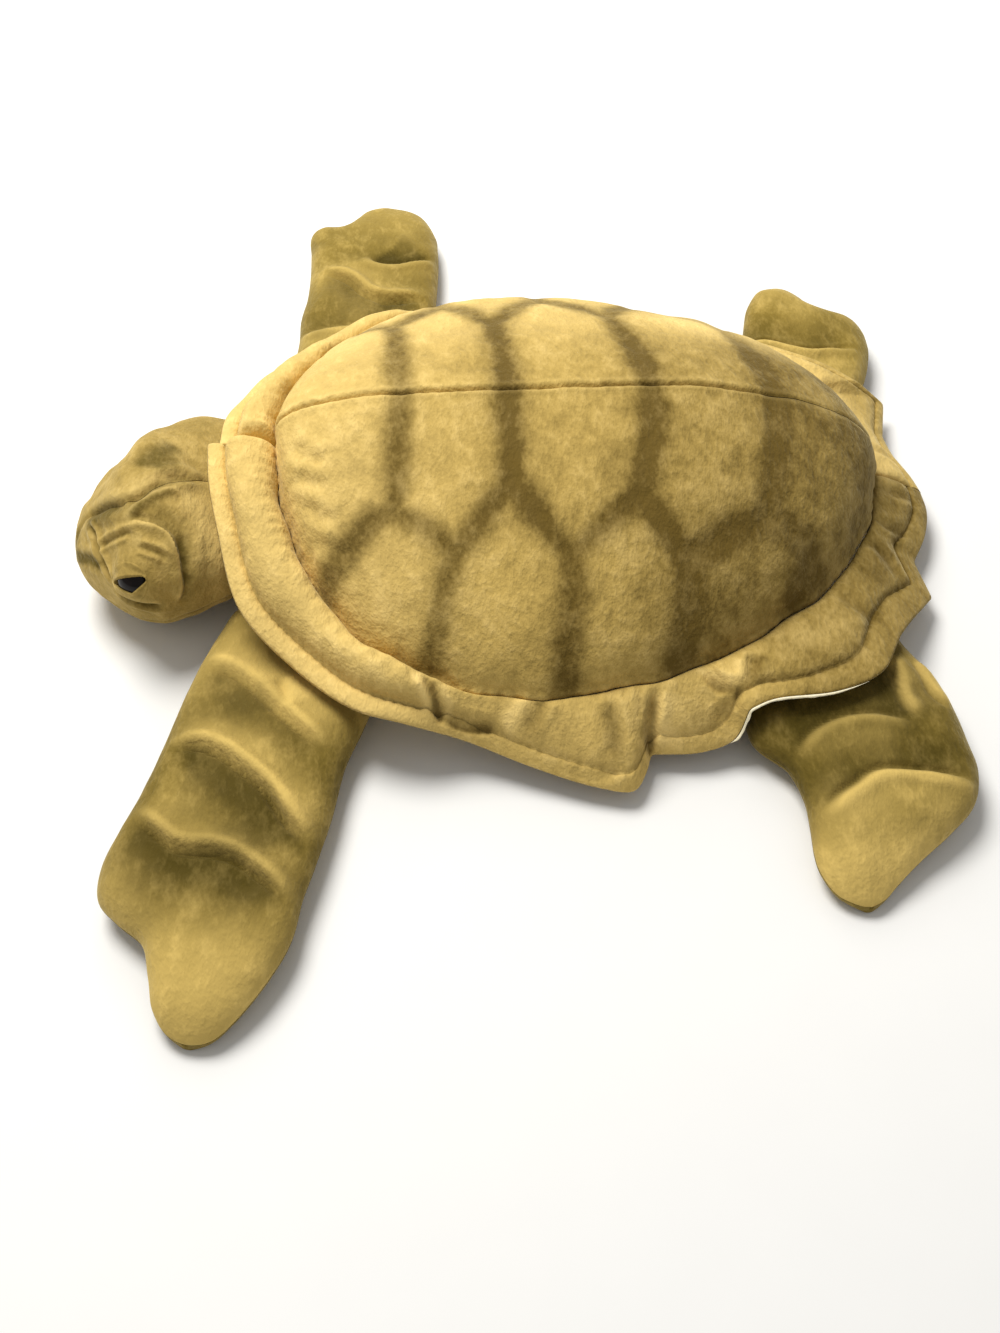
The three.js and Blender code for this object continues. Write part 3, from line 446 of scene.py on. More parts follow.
# Airbrushed lines between the scutes on the dome: x and distance from the ridge.
SCUTE_LINES = [
    [(-84, 0), (-86, 12), (-87, 31), (-89, 65), (-92, 72)],
    [(-31, 0), (-31, 35), (-34, 64)],
    [(43, 0), (40, 31), (30, 71)],
    [(110, 0), (102, 49), (94, 75)],
    [(-130, 94), (-112, 81), (-92, 72), (-73, 82), (-61, 93), (-49, 80), (-34, 64), (-20, 81), (-5, 96), (12, 84),
     (30, 71), (41, 86), (52, 97), (74, 85), (94, 75)],
    [(-61, 93), (-67, 110), (-73, 128), (-77, 138)],
    [(-5, 96), (-6, 118), (-10, 137), (-12, 150)],
    [(52, 97), (51, 115), (45, 136), (44, 142)],
    [(94, 75), (106, 77), (114, 83), (119, 91), (113, 100)],
]
SCUTE_STRENGTH = [0.9, 0.95, 0.95, 0.95, 0.9, 0.85, 0.95, 0.95, 1.0]
FAR_SCUTES = 1.15  # the right half's lines lie this much further from the ridge
# Creases at the left half's front.
DOME_DENTS = [
    [(-143, -20, 90), (-134, -32, 92), (-124, -38, 93)],
    [(-141, -38, 86), (-132, -46, 88), (-122, -52, 88)],
    [(-138, -54, 80), (-128, -64, 82), (-118, -70, 83)],
    [(-132, -74, 72), (-122, -82, 74), (-112, -86, 76)],
]


def dome_grid(side):
    """Points of half the dome, with y measured from the ridge, and their shares of the way to the seam."""
    u, v = crowded(-1, 236, 0.72), np.concatenate([BESIDE_RIDGE, np.linspace(0.022, 1, 116)])
    share, x, y = plan_disc(*np.meshgrid(u, v, indexing="ij"))
    out = np.where(share < 1e-9, math.pi / 2, np.sin(share * math.pi / 2) / np.maximum(share, 1e-9))
    x, y = DOME_X + x * share * out, y * share * out
    z = dome_height(x, y)
    wave = 1 + (seam_wave(x - DOME_X, y * side) - 1) * ease(share, 0.8, 1)
    return share, DOME_X + (x - DOME_X) * wave, y * wave, z


def dome_relief(x, y, signed, to_seam, scutes, side):
    """Push along the normal: uneven filling, scutes, ridge seam, puckers along the lower seam, and dents."""
    push = ripples(signed, (1.5, 55, 3), (0.55, 17, 4), (0.3, 7, 5))
    for line in scutes:
        push -= 0.7 * bump(near(signed[..., :2] * (1, side), line)[0], 0, 6)
    stitches = 0.5 + 0.5 * np.sin(2 * math.pi * (x / STITCH + 0.6 * ripple(signed, 13, 8)))
    seam = -1.7 * bump(y, 0, 1.1) + (0.8 + 0.5 * stitches) * bump(y, 3.4, 2.2) + 0.5 * bump(y, 9, 7)
    push += (1 - 0.8 * ease(x, 85, 125)) * seam
    puckers = np.sin(2 * math.pi * (np.arctan2(y, x - DOME_X) * DOME_WIDE / 9 + 0.8 * ripple(signed, 19, 9)))
    push = push * ease(to_seam, 1, 14) - 0.5 * np.exp(-to_seam / 1.2)
    push += (0.9 + 0.35 * puckers) * bump(to_seam, 6.5, 4.5)
    for dent in DOME_DENTS if side < 0 else []:
        push += groove(signed, dent, 1.5, 3.6, 0.6)
    return push


def dome_tones(x, y, signed, to_seam, scutes, side):
    """Airbrushed scute lines and tone of half the dome, with painted shade and painted highlights."""
    wobble = 1 + 0.22 * ripple(signed, 22, 12)
    lines = np.zeros_like(x)
    for line, strength in zip(scutes, SCUTE_STRENGTH):
        away = near(np.stack([x, y], -1), rounded(line, 4))[0]
        core = np.exp(-((away * wobble / (8.0 if strength < 1 else 9.5)) ** 2.6))
        lines = np.maximum(lines, strength * core + 0.12 * bump(away, 0, 17))
    # Base tone, partly airbrushed colour and partly painted shade: darker toward the rear and out toward the sides,
    # lighter over the far half.
    airbrush_and_shade = 0.03 + 0.17 * ease(x, -100, -20) + 0.24 * ease(x, -10, 80) + 0.16 * ease(x, 84, 130)
    airbrush_and_shade += (0.1 + 0.1 * (1 - ease(x, 60, 100))) * ease(x, 5, 60) * ease(y, 55, 110) + 0.08 * ripple(signed, 38, 13)
    if side > 0:
        airbrush_and_shade *= 1 - 0.9 * ease(y, 25, 85)
    else:
        airbrush_and_shade += 0.07 * (1 - ease(y, 55, 90)) - 0.1 * ease(y, 85, 110) * (1 - ease(x, 0, 30))
    airbrush_and_shade += 0.16 * ease(x, 128, 160)
    # Painted shade in the crease along the lower seam.
    dark = airbrush_and_shade + (0.8 - 0.4 * airbrush_and_shade) * lines + 0.1 * bump(to_seam, 0, 4)
    between = 1 - 0.8 * lines
    # Painted highlights: toward the front, on the ridge welt and on the puckers by the seam.
    light = 0.3 * ease(-x, 30, 130) * between + 0.16 * bump(y, 3.2, 1.6) + 0.2 * bump(to_seam, 6, 3.5)
    if side > 0:
        # A painted sheen over the far half, strongest toward its rear.
        light += 0.45 * ease(y, 20, 90) * between * (1 - ease(x, 80, 130)) + ease(y, 35, 90) * ease(x, 40, 95)
    return dark, light


def build_dome(side):
    share, x, y, z = dome_grid(side)
    top = np.stack([x, y, z], -1)
    n = normals_of(top, top - np.array([DOME_X, 0, 0]))
    n[..., 1] = np.where(y < 1.0, 0, n[..., 1])
    n = unit(n)
    to_seam = (1 - share) * math.pi / 2 * SEAM_RUN
    scutes = [np.array(line, float) * (1, 1 if side < 0 else FAR_SCUTES) for line in SCUTE_LINES]
    place = (x, y, top * np.array([1, side, 1]), to_seam, scutes, side)
    dark, light = dome_tones(*place)
    top = top + n * dome_relief(*place)[..., None]
    top[..., 1] = np.maximum(top[..., 1], HALF_GAP)
    inner = top - n * (CLOTH * ease(to_seam, 0, 9) * ease(y, 0, 4))[..., None]
    inner[..., 1] = np.maximum(inner[..., 1], HALF_GAP)
    for grid in (top, inner):
        grid[..., 1] *= side
    points, faces = closed(top, inner)
    word = "left" if side < 0 else "right"
    obj = piece(f"carapace_{word}", points, faces, dark=spread(dark), light=spread(light))
    dress(obj, shell_plush, "shell_plush", 0.8, f"carapace_{word}_panel")
    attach(obj, "shell")


BELLY_SHARE = 0.975  # the belly's outline as a share of the dome's
NECK_ROOM = 5.5  # how high the belly stands under the neck


def build_belly():
    u = np.linspace(-1, 1, 150)
    U, V = np.meshgrid(u, u, indexing="ij")
    share, x, y = plan_disc(U, np.abs(V))
    wall = np.clip((share - 0.7) / 0.3, 0, 1)
    x, y = DOME_X + x * share * BELLY_SHARE, y * np.sign(V) * share * BELLY_SHARE
    z = (seam_height(x) - 1.2) * (1 - (1 - wall**3.0) ** (1 / 3.0))
    room = ease(-x, 84, 96) * (1 - ease(np.abs(y + 3), 60, 66))
    z = np.where(room > 0, np.minimum(z, NECK_ROOM + (z - NECK_ROOM) * (1 - room)), z)
    outer = np.stack([x, y, z], -1)
    n = normals_of(outer, outer - np.array([DOME_X, 0, 20]))
    swell = ripples(outer, (0.8, 30, 21), (0.35, 9, 22))
    lower = outer + n * (np.minimum(swell, 0.2) - 0.4)[..., None]
    lower[..., 2] = np.maximum(lower[..., 2], 0.15)
    lower[..., 2] += 1.4 * bump(lower[..., 1], 0, 1.2) * (1 - wall)
    rim = np.minimum(1 - np.abs(U), 1 - np.abs(V))
    points, faces = closed(lower, lower - n * (CLOTH * ease(rim, 0, 0.06))[..., None])
    # Painted shade in the middle seam's groove and toward the belly's upturned edge.
    dark = 0.25 * bump(lower[..., 1], 0, 4) * (1 - wall) + 0.35 * wall**2
    obj = piece("belly", points, faces, dark=spread(dark))
    dress(obj, belly_plush, "belly_plush", 0.75, "belly_panel", "body_wadding")
    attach(obj, "shell")


# Rim.

RIM_FRONT, RIM_REAR, RIM_SPAN = 197.0, 198.0, 190.0
RIM_SIDE_HEIGHT, RIM_FRONT_HEIGHT = 32.4, 71.0
RIM_FLOOR = 8.0  # how far the rim's inner edge lies below the dome's seam
SEAM_TOP, CREASE, EDGE_HEIGHT = 8.6, 4.3, 1.6  # the rim's cloth over its floor: at the dome, at the lip and at the hem
# Shares of the way through the lip at which it has points.
LIP_SHARES = np.array([0.02, 0.07, 0.14, 0.24, 0.36, 0.5, 0.64, 0.76, 0.86, 0.94, 1.0])
# How wide the left lip is at these places along the shell.
LIP_X, LIP_WIDE = [60, 77, 100, 127, 150, 178, 204], [7, 9, 9.5, 14, 15, 18, 10]
RAW_EDGE = 68, 138  # where the white backing's cut edge shows
# Outer edge from the middle of the front to the middle of the rear: shares of reach, span, height and extra height,
# and 1 where the hem turns a corner.
LEFT_EDGE = [
    (-0.955, 0, 1, 1, 0), (-0.945, 0.13, 1, 0.95, 0), (-0.92, 0.27, 1, 0.77, 0), (-0.864, 0.485, 1, 0.32, 0),
    (-0.74, 0.635, 1, 0.04, 0), (-0.58, 0.785, 1, 0, 0), (-0.455, 0.832, 0.95, 0, 0), (-0.31, 0.847, 0.57, 0, 0),
    (-0.15, 0.915, 0.38, 0, 0), (0, 0.975, 0.29, 0, 0), (0.095, 0.99, 0.25, 0, 0), (0.13, 0.94, 0.25, 0, 0),
    (0.15, 0.885, 0.29, 0, 1), (0.27, 0.89, 0.32, 0, 0), (0.355, 0.868, 0.42, 0, 0), (0.388, 0.838, 0.96, 0, 1),
    (0.45, 0.815, 1, 0, 0), (0.61, 0.8, 1, 0, 0), (0.73, 0.75, 1, 0, 0), (0.83, 0.59, 0.8, 0, 0),
    (0.975, 0.4, 0.32, 0, 1), (0.955, 0.27, 0.38, 0, 1), (1.01, 0.17, 0.4, 0, 0), (1.04, 0.07, 0.4, 0, 0),
    (1.04, 0, 0.42, 0, 0),
]
RIGHT_EDGE = [
    (-0.925, 0, 1, 0.97, 0), (-0.917, 0.125, 1, 0.93, 0), (-0.883, 0.25, 1, 0.75, 0), (-0.835, 0.466, 1, 0.32, 0),
    (-0.731, 0.629, 1, 0.04, 0),
] + LEFT_EDGE[5:14] + [
    (0.355, 0.86, 0.38, 0, 0), (0.4, 0.8, 0.7, 0, 0), (0.47, 0.75, 1, 0, 0), (0.6, 0.65, 1.03, 0, 0),
    (0.73, 0.57, 1.03, 0, 0), (0.84, 0.5, 1, 0, 0), (0.94, 0.43, 0.85, 0, 1), (1.035, 0.43, 0.3, 0, 1),
    (0.99, 0.26, 0.38, 0, 1), (1, 0.17, 0.4, 0, 0), (1.03, 0.07, 0.4, 0, 0), (1.04, 0, 0.42, 0, 0),
]
# Folds in the rim's cloth: points in plan, depth and width.
RIM_FOLDS = [
    ([(-79, -140), (-76, -147), (-73, -153), (-72, -158)], 3.4, 2.0),
    ([(-73, -153), (-65, -156), (-54, -158), (-44, -159)], 2.2, 1.7),
    ([(-24, -150), (-27, -157), (-31, -165)], 2.0, 3.0),
    ([(6, -154), (10, -164), (11, -173), (12, -180)], 2.2, 4.5),
    ([(33, -145), (32, -152), (30, -161), (27, -173)], 4.0, 2.2),
    ([(-25, -174), (-12, -181), (3, -183), (14, -179), (23, -172)], 0.9, 2.2),
    ([(55, -138), (64, -146), (76, -151)], 2.2, 2.0),
    ([(83, -131), (80, -140), (78, -150)], 2.2, 2.6),
    ([(60, -158), (68, -154), (76, -152)], 1.4, 1.8),
    ([(-128, -104), (-122, -112), (-118, -122)], 0.9, 4.0),
    ([(-102, -128), (-98, -136), (-96, -145)], 0.9, 3.6),
    ([(158, -52), (166, -62), (172, -76)], 1.6, 3.0),
    ([(165, -38), (176, -40), (188, -34)], 2.2, 2.6),
    ([(172, -12), (184, -14), (198, -10)], 1.6, 3.0),
    ([(133, -92), (143, -103), (152, -112)], 1.0, 4.0),
    ([(-20, 150), (-22, 165), (-26, 176)], 1.8, 3.4),
    ([(36, 147), (34, 158), (30, 172)], 2.6, 3.0),
    ([(-72, 140), (-70, 150), (-66, 160)], 1.4, 3.4),
    ([(90, 125), (98, 132), (110, 134)], 1.4, 3.0),
    ([(150, 60), (160, 68), (172, 74)], 1.6, 3.0),
    ([(170, 20), (184, 22), (196, 20)], 1.6, 3.0),
]
# Painted shade and painted highlights on the left rim: points in plan, width, and darker (+) or lighter (-) by how
# much.
RIM_SHADES = [
    ([(28, -149), (27, -158), (24, -170)], 5.0, 0.6),
    ([(38, -148), (36, -158), (33, -168)], 5.0, -0.7),
    ([(8, -152), (10, -164), (12, -179)], 5.0, 0.5),
    ([(-21, -151), (-26, -159), (-30, -167)], 4.5, 0.45),
    ([(-30, -149), (-36, -156), (-43, -161)], 4.5, -0.7),
    ([(57, -142), (66, -148), (75, -151)], 2.4, 0.6),
    ([(52, -136), (62, -142), (74, -148)], 2.2, -0.7),
    ([(76, -134), (73, -141), (76, -148)], 3.0, -0.6),
    ([(86, -132), (83, -140), (80, -149)], 3.5, 0.5),
    ([(46, -156), (58, -157), (70, -153)], 4.5, 0.35),
    ([(-83, -139), (-80, -147), (-77, -153)], 2.5, -0.7),
    ([(-76, -142), (-74, -150), (-72, -156)], 1.8, 0.8),
    ([(-70, -143), (-69, -149), (-66, -153)], 2.2, -0.5),
    ([(-73, -153), (-62, -157), (-44, -159)], 1.8, 0.6),
    ([(100, -128), (118, -122), (138, -106)], 6.0, -0.2),
    ([(155, -84), (165, -66), (172, -50)], 8.0, 0.25),
]


def seam_points(directions, clear):
    """Points at a clearance outside the dome's lower seam, in these directions from its middle."""
    front = directions[:, 0] < 0
    way = unit(directions)
    reach = np.where(front, DOME_FRONT, DOME_REAR) + clear
    power = np.where(front, PLAN_FRONT, PLAN_REAR)
    along, across = np.abs(way[:, 0]) / reach, np.abs(way[:, 1]) / (DOME_WIDE + clear)
    away = (along**power + across**power) ** (-1 / power) * seam_wave(directions[:, 0], directions[:, 1])
    x = DOME_X + way[:, 0] * away
    return np.stack([x, way[:, 1] * away, seam_height(x)], 1)


def hem_line(rows, side):
    """The rim's outer edge as a close line, smooth but for its corners."""
    points = np.array([
        (x * (RIM_FRONT if x < 0 else RIM_REAR), side * y * RIM_SPAN,
         high * RIM_SIDE_HEIGHT + extra * (RIM_FRONT_HEIGHT - RIM_SIDE_HEIGHT))
        for x, y, high, extra, _ in rows
    ])
    corners = [0] + [i for i, row in enumerate(rows) if row[4]] + [len(rows) - 1]
    runs = [rounded(points[a : b + 1], 1.6) for a, b in zip(corners[:-1], corners[1:])]
    line = respaced(np.vstack([runs[0]] + [run[1:] for run in runs[1:]]), 470)
    for _ in range(2):
        line[1:-1] = line[1:-1] * 0.5 + (line[:-2] + line[2:]) * 0.25
    return line


def build_raw_edge(hem):
    """The cut edge of the white backing where the hem climbs over the left rear flipper."""
    count, sides = 120, 12
    run = respaced(hem[(hem[:, 0] > RAW_EDGE[0]) & (hem[:, 0] < RAW_EDGE[1])], count)
    out = unit(np.cross(unit(np.gradient(run, axis=0)), [0, 0, 1]))
    if out[count // 2, 1] > 0:
        out = -out
    share = np.linspace(0, 1, count)
    thick = 0.65 * ease(share, 0, 0.06) * (1 - ease(share, 0.75, 1)) * (1 + 0.3 * ripple(run, 4, 36)) + 0.06
    turn = turns(sides)[None, :, None]
    ring = np.cos(turn) * out[:, None] + 0.8 * np.sin(turn) * np.array([0, 0, 1.0])
    points = (run + out * (0.3 + thick)[:, None])[:, None] + ring * thick[:, None, None]
    index = tube_index(count, sides)
    faces = quads(index).tolist() + [index[0, -2::-1].tolist(), index[-1, :-1].tolist()]
    obj = piece("rim_left_raw_edge", points.reshape(-1, 3), faces, dark=0.25)
    dress(obj, cut_edge, "shell_plush", None, "rim_left_cover")
    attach(obj, "shell")


def rim_tones(place, shape, front, seam_away, near_crease, x, q, side):
    """Painted shade and painted highlights of half the rim, with a darker rear that is partly airbrushed colour and
    partly painted shade.
    """
    dark, light = np.zeros(shape.shape), np.zeros(shape.shape)
    # Painted shade in the folds.
    for line, depth, wide in RIM_FOLDS:
        if line[0][1] * side > 0:
            dark += 0.12 * depth * stain(place, line, wide * 1.1, 0.3)
    for line, wide, strength in RIM_SHADES if side < 0 else []:
        tone = strength * stain(place, line, wide, 0.2)
        dark += np.maximum(tone, 0)
        light += np.maximum(-tone, 0)
    # Painted highlights on the lit front roll and its lip, and on the front of the sides.
    light += 0.42 * front * (0.6 + 0.4 * shape) + 0.3 * (q > 1) * front
    light += 0.16 * (1 - front) * (1 - ease(x, 60, 110))
    # Painted shade in the creases at the dome's seam and at the lip.
    dark += 0.45 * np.exp(-seam_away / 1.6) + 0.36 * near_crease * bump(q, 1, 0.12)
    # Darker toward the rear, most on the left half: partly airbrushed colour, partly painted shade.
    dark += (0.6 if side < 0 else 0.1) * ease(x, 70, 130)
    # A painted sheen on the right half, toward its rear.
    if side > 0:
        light += 0.6 * ease(x, 20, 90) * bump(seam_away, 12, 16)
    return dark, light


def build_rim(rows, side):
    """Half the rim: a roll or a thin skirt from the dome's seam out to the lip, with a lining underneath."""
    word = "left" if side < 0 else "right"
    hem = hem_line(rows, side)
    inner = seam_points(hem[:, :2] - np.array([DOME_X, 0]), 0.3)
    inner[:, 2] -= RIM_FLOOR
    inner[[0, -1], 1] = hem[[0, -1], 1]
    x, width = hem[:, :1], np.linalg.norm(hem - inner, axis=1)[:, None]
    front = ease(-x / RIM_FRONT, 0.25, 0.6)
    lip = np.clip(((np.interp(x, LIP_X, LIP_WIDE) if side < 0 else 7.0) + 3.2 * front) / width, 0.05, 0.6)
    # q runs from 0 at the dome to 1 at the crease and 2 at the hem, and S is the share of the width.
    q = np.concatenate([np.linspace(0, 1, 40) * 0.999, 1 + LIP_SHARES])[None]
    roll, in_lip = np.clip(q, 0, 1), np.clip(q - 1, 0, 1)
    S = np.where(q <= 1, q * (1 - lip), 1 - lip + (q - 1) * lip)
    base = inner[:, None] + (hem - inner)[:, None] * S[..., None]
    seam_away, hem_away = S * width, (1 - S) * width
    crown = (1 - np.abs(2 * roll**0.86 - 1) ** 2.5) ** 0.55
    skirt = (1 - np.abs(2 * roll - 1) ** 3.5) ** 0.8
    shape = crown * front + skirt * (1 - front)
    from_end = np.minimum(np.abs(hem[:, 1:2]) / 9, 1)
    puff = np.sqrt(np.clip(1 - (1 - from_end) ** 2, 0, 1)) * 0.85 + 0.15
    crease = CREASE + 0.6 * front
    roll_height = SEAM_TOP + (crease - SEAM_TOP) * roll + (5 + 12 * front) * shape * puff
    rounding = np.sqrt(np.clip(1 - (2 * in_lip - 1) ** 2, 0, 1))
    lip_height = (crease + 0.2) * (1 - in_lip) + EDGE_HEIGHT * in_lip + (1.5 + 0.9 * front) * rounding
    top = base.copy()
    top[..., 2] += np.where(q <= 1, roll_height, lip_height)
    place = base[..., :2]
    push = ripples(base, (0.7, 30, 31), (0.4, 11, 32)) * np.minimum(shape + 0.2, 1)
    for line, depth, wide in RIM_FOLDS:
        if line[0][1] * side > 0:
            push += groove(place, line, depth, wide, 0.5, 0.3)
    run = run_along(hem)[:, None]
    stitch = np.sin(2 * math.pi * (run / STITCH + 0.7 * ripple(hem, 15, 33)[:, None]))
    near_crease = bump((q - 1) * width * np.where(q <= 1, 1, lip), 0, 3.2)
    puckers = np.sin(2 * math.pi * (run / 11 + ripple(hem, 23, 34)[:, None]))
    push += 0.3 * stitch * near_crease + 0.35 * puckers * bump(seam_away, 6, 5)
    top[..., 2] += push * ease(seam_away, 0, 3) * ease(hem_away, 0, 2.5) - 0.2 * np.exp(-seam_away / 1.2)
    top[:, 0, 2] = base[:, 0, 2] + EDGE_HEIGHT + 0.15
    bottom, under = base.copy(), base.copy()
    bottom[..., 2] = np.minimum(top[..., 2] - 0.8, base[..., 2] + 2.2)
    share_border(bottom, top)
    under[..., 2] += EDGE_HEIGHT * np.exp(-hem_away / 1.2)
    for grid in (top, bottom, under):
        grid[..., 1] = np.where(side * grid[..., 1] < HALF_GAP, side * HALF_GAP, grid[..., 1])
    dark, light = rim_tones(place, shape, front, seam_away, near_crease, x, q, side)
    points, faces = closed(top, bottom)
    obj = piece(f"rim_{word}_top", points, faces, dark=spread(dark), light=spread(light))
    dress(obj, shell_plush, "shell_plush", 0.55, f"rim_{word}_cover", f"rim_{word}_wadding")
    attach(obj, "shell")
    if side < 0:
        build_raw_edge(top[:, -1])
    roof = under.copy()
    roof[..., 2] = np.minimum(bottom[..., 2] - 0.25, base[..., 2] + 1.9)
    roof[..., 2] = np.maximum(roof[..., 2], under[..., 2] + 0.2)
    share_border(roof, under)
    points, faces = closed(roof, under)
    # The lining is darkened throughout: painted shade under the rim.
    obj = piece(f"rim_{word}_lining", points, faces, dark=0.2)
    dress(obj, shell_plush, "shell_plush", 0.3, f"rim_{word}_underside")
    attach(obj, "shell")


# Flippers.

# Kinds of flipper. Outline: share of the length, then leading and trailing edge as shares of half the width.
# Depth: share of the length and of the thickness.
FRONT = dict(
    half=46.0, thick=27.0,
    outline=[(-0.33, 0.4, -0.4), (-0.28, 0.84, -0.84), (-0.1, 1.03, -1), (0.08, 1.1, -0.92), (0.24, 1.12, -0.83),
             (0.38, 1.15, -0.84), (0.52, 1.22, -0.82), (0.63, 1.26, -0.79), (0.71, 1.17, -0.8),
             (0.755, 0.92, -0.78), (0.8, 0.6, -0.73), (0.87, 0.45, -0.62), (0.94, 0.32, -0.46), (0.985, 0.14, -0.3)],
    tip=(1.0, -0.06),
    depth=[(-0.33, 0.7), (-0.1, 0.9), (0.11, 0.98), (0.5, 0.98), (0.8, 0.92), (0.94, 0.7), (1, 0.45)],
)
BENT_FRONT = dict(
    FRONT,
    outline=[(-0.33, 0.3, -0.45), (-0.28, 0.7, -0.87), (-0.1, 0.76, -1), (0.11, 0.79, -0.98), (0.24, 0.88, -0.96),
             (0.36, 0.9, -0.94), (0.5, 0.98, -0.88), (0.63, 1.09, -0.81), (0.73, 1.17, -0.73), (0.775, 1.02, -0.69),
             (0.8, 0.74, -0.65), (0.85, 0.62, -0.55), (0.92, 0.54, -0.37), (0.96, 0.33, -0.15)],
    tip=(0.972, 0.1),
)
REAR = dict(
    half=50.0, thick=26.0,
    outline=[(-0.4, 0.4, -0.4), (-0.33, 0.8, -0.8), (-0.1, 0.95, -0.85), (0.1, 1.02, -1.01), (0.26, 1.03, -1.05),
             (0.4, 0.79, -1.04), (0.55, 0.74, -1), (0.68, 0.78, -0.83), (0.78, 0.82, -0.5), (0.86, 0.81, -0.16),
             (0.94, 0.71, 0.14), (0.985, 0.56, 0.3)],
    tip=(1.0, 0.43),
    depth=[(-0.4, 0.75), (0.1, 0.96), (0.3, 0.96), (0.55, 0.98), (0.72, 0.98), (0.86, 0.8), (1, 0.45)],
)
FOLDED_REAR = dict(
    REAR,
    outline=[(-0.4, 0.4, -0.4), (-0.33, 0.78, -0.82), (-0.1, 0.7, -1), (0.1, 0.56, -1.07), (0.28, 0.58, -1.05),
             (0.45, 0.66, -0.99), (0.6, 0.73, -0.9), (0.74, 0.75, -0.74), (0.84, 0.74, -0.5), (0.83, 0.72, -0.05),
             (0.92, 0.64, 0.1), (0.985, 0.5, 0.24)],
    tip=(1.0, 0.4),
)
# Each fold: points (out along the flipper, across it), depth, strength of its painted shade, strength of its painted
# highlight, and -1 where its shaded side faces the shell.
# tone is painted shade over the whole upper cover, bright a painted highlight toward the tip, and root_light lightens
# the painted shade by the root and adds a painted highlight there.
FLIPPERS = [
    dict(name="front_left_flipper", kind=FRONT, side=-1, root=(-146.2, -115.9), heading=-103, length=190.0,
         hinge=0.063, facing=-134, tone=0.34, bright=0.65, root_light=0.35, folds=[
             ([(1, 50), (5, 32), (10, 21), (18, 10), (27, -2), (37, -17), (47, -33)], 3.4, 0.55, 0.8, 1),
             ([(58, 50), (53, 30), (57, 17), (64, 5), (73, -8), (85, -20), (94, -32), (96, -42)], 4.4, 0.95, 0.8, 1),
             ([(92, 56), (103, 36), (108, 26), (109, 18), (108, 8), (110, -4), (115, -14), (123, -27), (131, -39)],
              4.0, 0.9, 0.6, 1),
             ([(4, 5), (12, 1), (24, -5)], 1.6, 0.3, 0.7, 1),
         ]),
    dict(name="front_right_flipper", kind=BENT_FRONT, side=1, root=(-120.4, 128.1), heading=79, length=190.0,
         hinge=0.1, facing=109, tone=0.1, bright=0.2, root_light=0.2, folds=[
             ([(84, 38), (81, 21), (76, 12), (65, 1), (61, -12), (64, -25), (68, -42)], 4.0, 0.6, 0.3, -1),
             ([(112, 8), (104, 1), (103, -11), (110, -27), (118, -36)], 2.6, 0.7, 0.3, 1),
             ([(22, 46), (30, 20), (34, -10), (30, -38)], 1.6, 0.3, 0.3, 1),
         ]),
    dict(name="rear_left_flipper", kind=REAR, side=-1, root=(127.7, -128.1), heading=-84, length=125.0,
         hinge=0.29, facing=-82, tone=0.4, bright=0.8, root_light=0.0, folds=[
             ([(84, 40), (76, 27), (70, 16), (64, 4), (64, -6), (67, -21), (73, -36), (80, -50)], 2.4, 0.45, 0.8, -1),
             ([(52, 40), (36, 24), (31, 4), (34, -14), (42, -30)], 1.6, 0.35, 0.35, -1),
             ([(-3, -24), (9, -26), (26, -24), (40, -28)], 1.8, 0.3, 0.8, 1),
             ([(0, -38), (12, -40), (24, -41), (36, -48)], 1.8, 0.3, 0.8, 1),
         ]),
    dict(name="rear_right_flipper", kind=FOLDED_REAR, side=1, root=(142.0, 112.1), heading=60, length=88.0,
         hinge=0.1, facing=58, tone=0.0, bright=0.35, root_light=0.2, folds=[
             ([(12, 44), (14, 24), (18, 12), (19, 0), (20, -13), (28, -27), (38, -45)], 3.6, 0.6, 0.4, 1),
         ]),
]
SEAM_GAP = 0.15  # how far a flipper's upper and lower covers stay from the seam between them
NOISE_LEVELS = 7.0  # times a name's length: flippers with other names get other ripples


def flipper_plan(spec):
    """Leading and trailing edges from the hidden end to the tip, at matching places."""
    kind = spec["kind"]
    size = np.array([spec["length"], kind["half"]])
    outline = np.array(kind["outline"])
    tip = np.array(kind["tip"]) * size
    line = rounded(np.vstack([outline[:, :2] * size, tip, outline[::-1, ::2] * size]), 1.2)
    at = int(np.argmin(np.linalg.norm(line - tip, axis=1)))
    steps = crowded(0, 150, 0.8) * 0.997
    return respaced(line[: at + 1], steps), respaced(line[at:][::-1], steps)


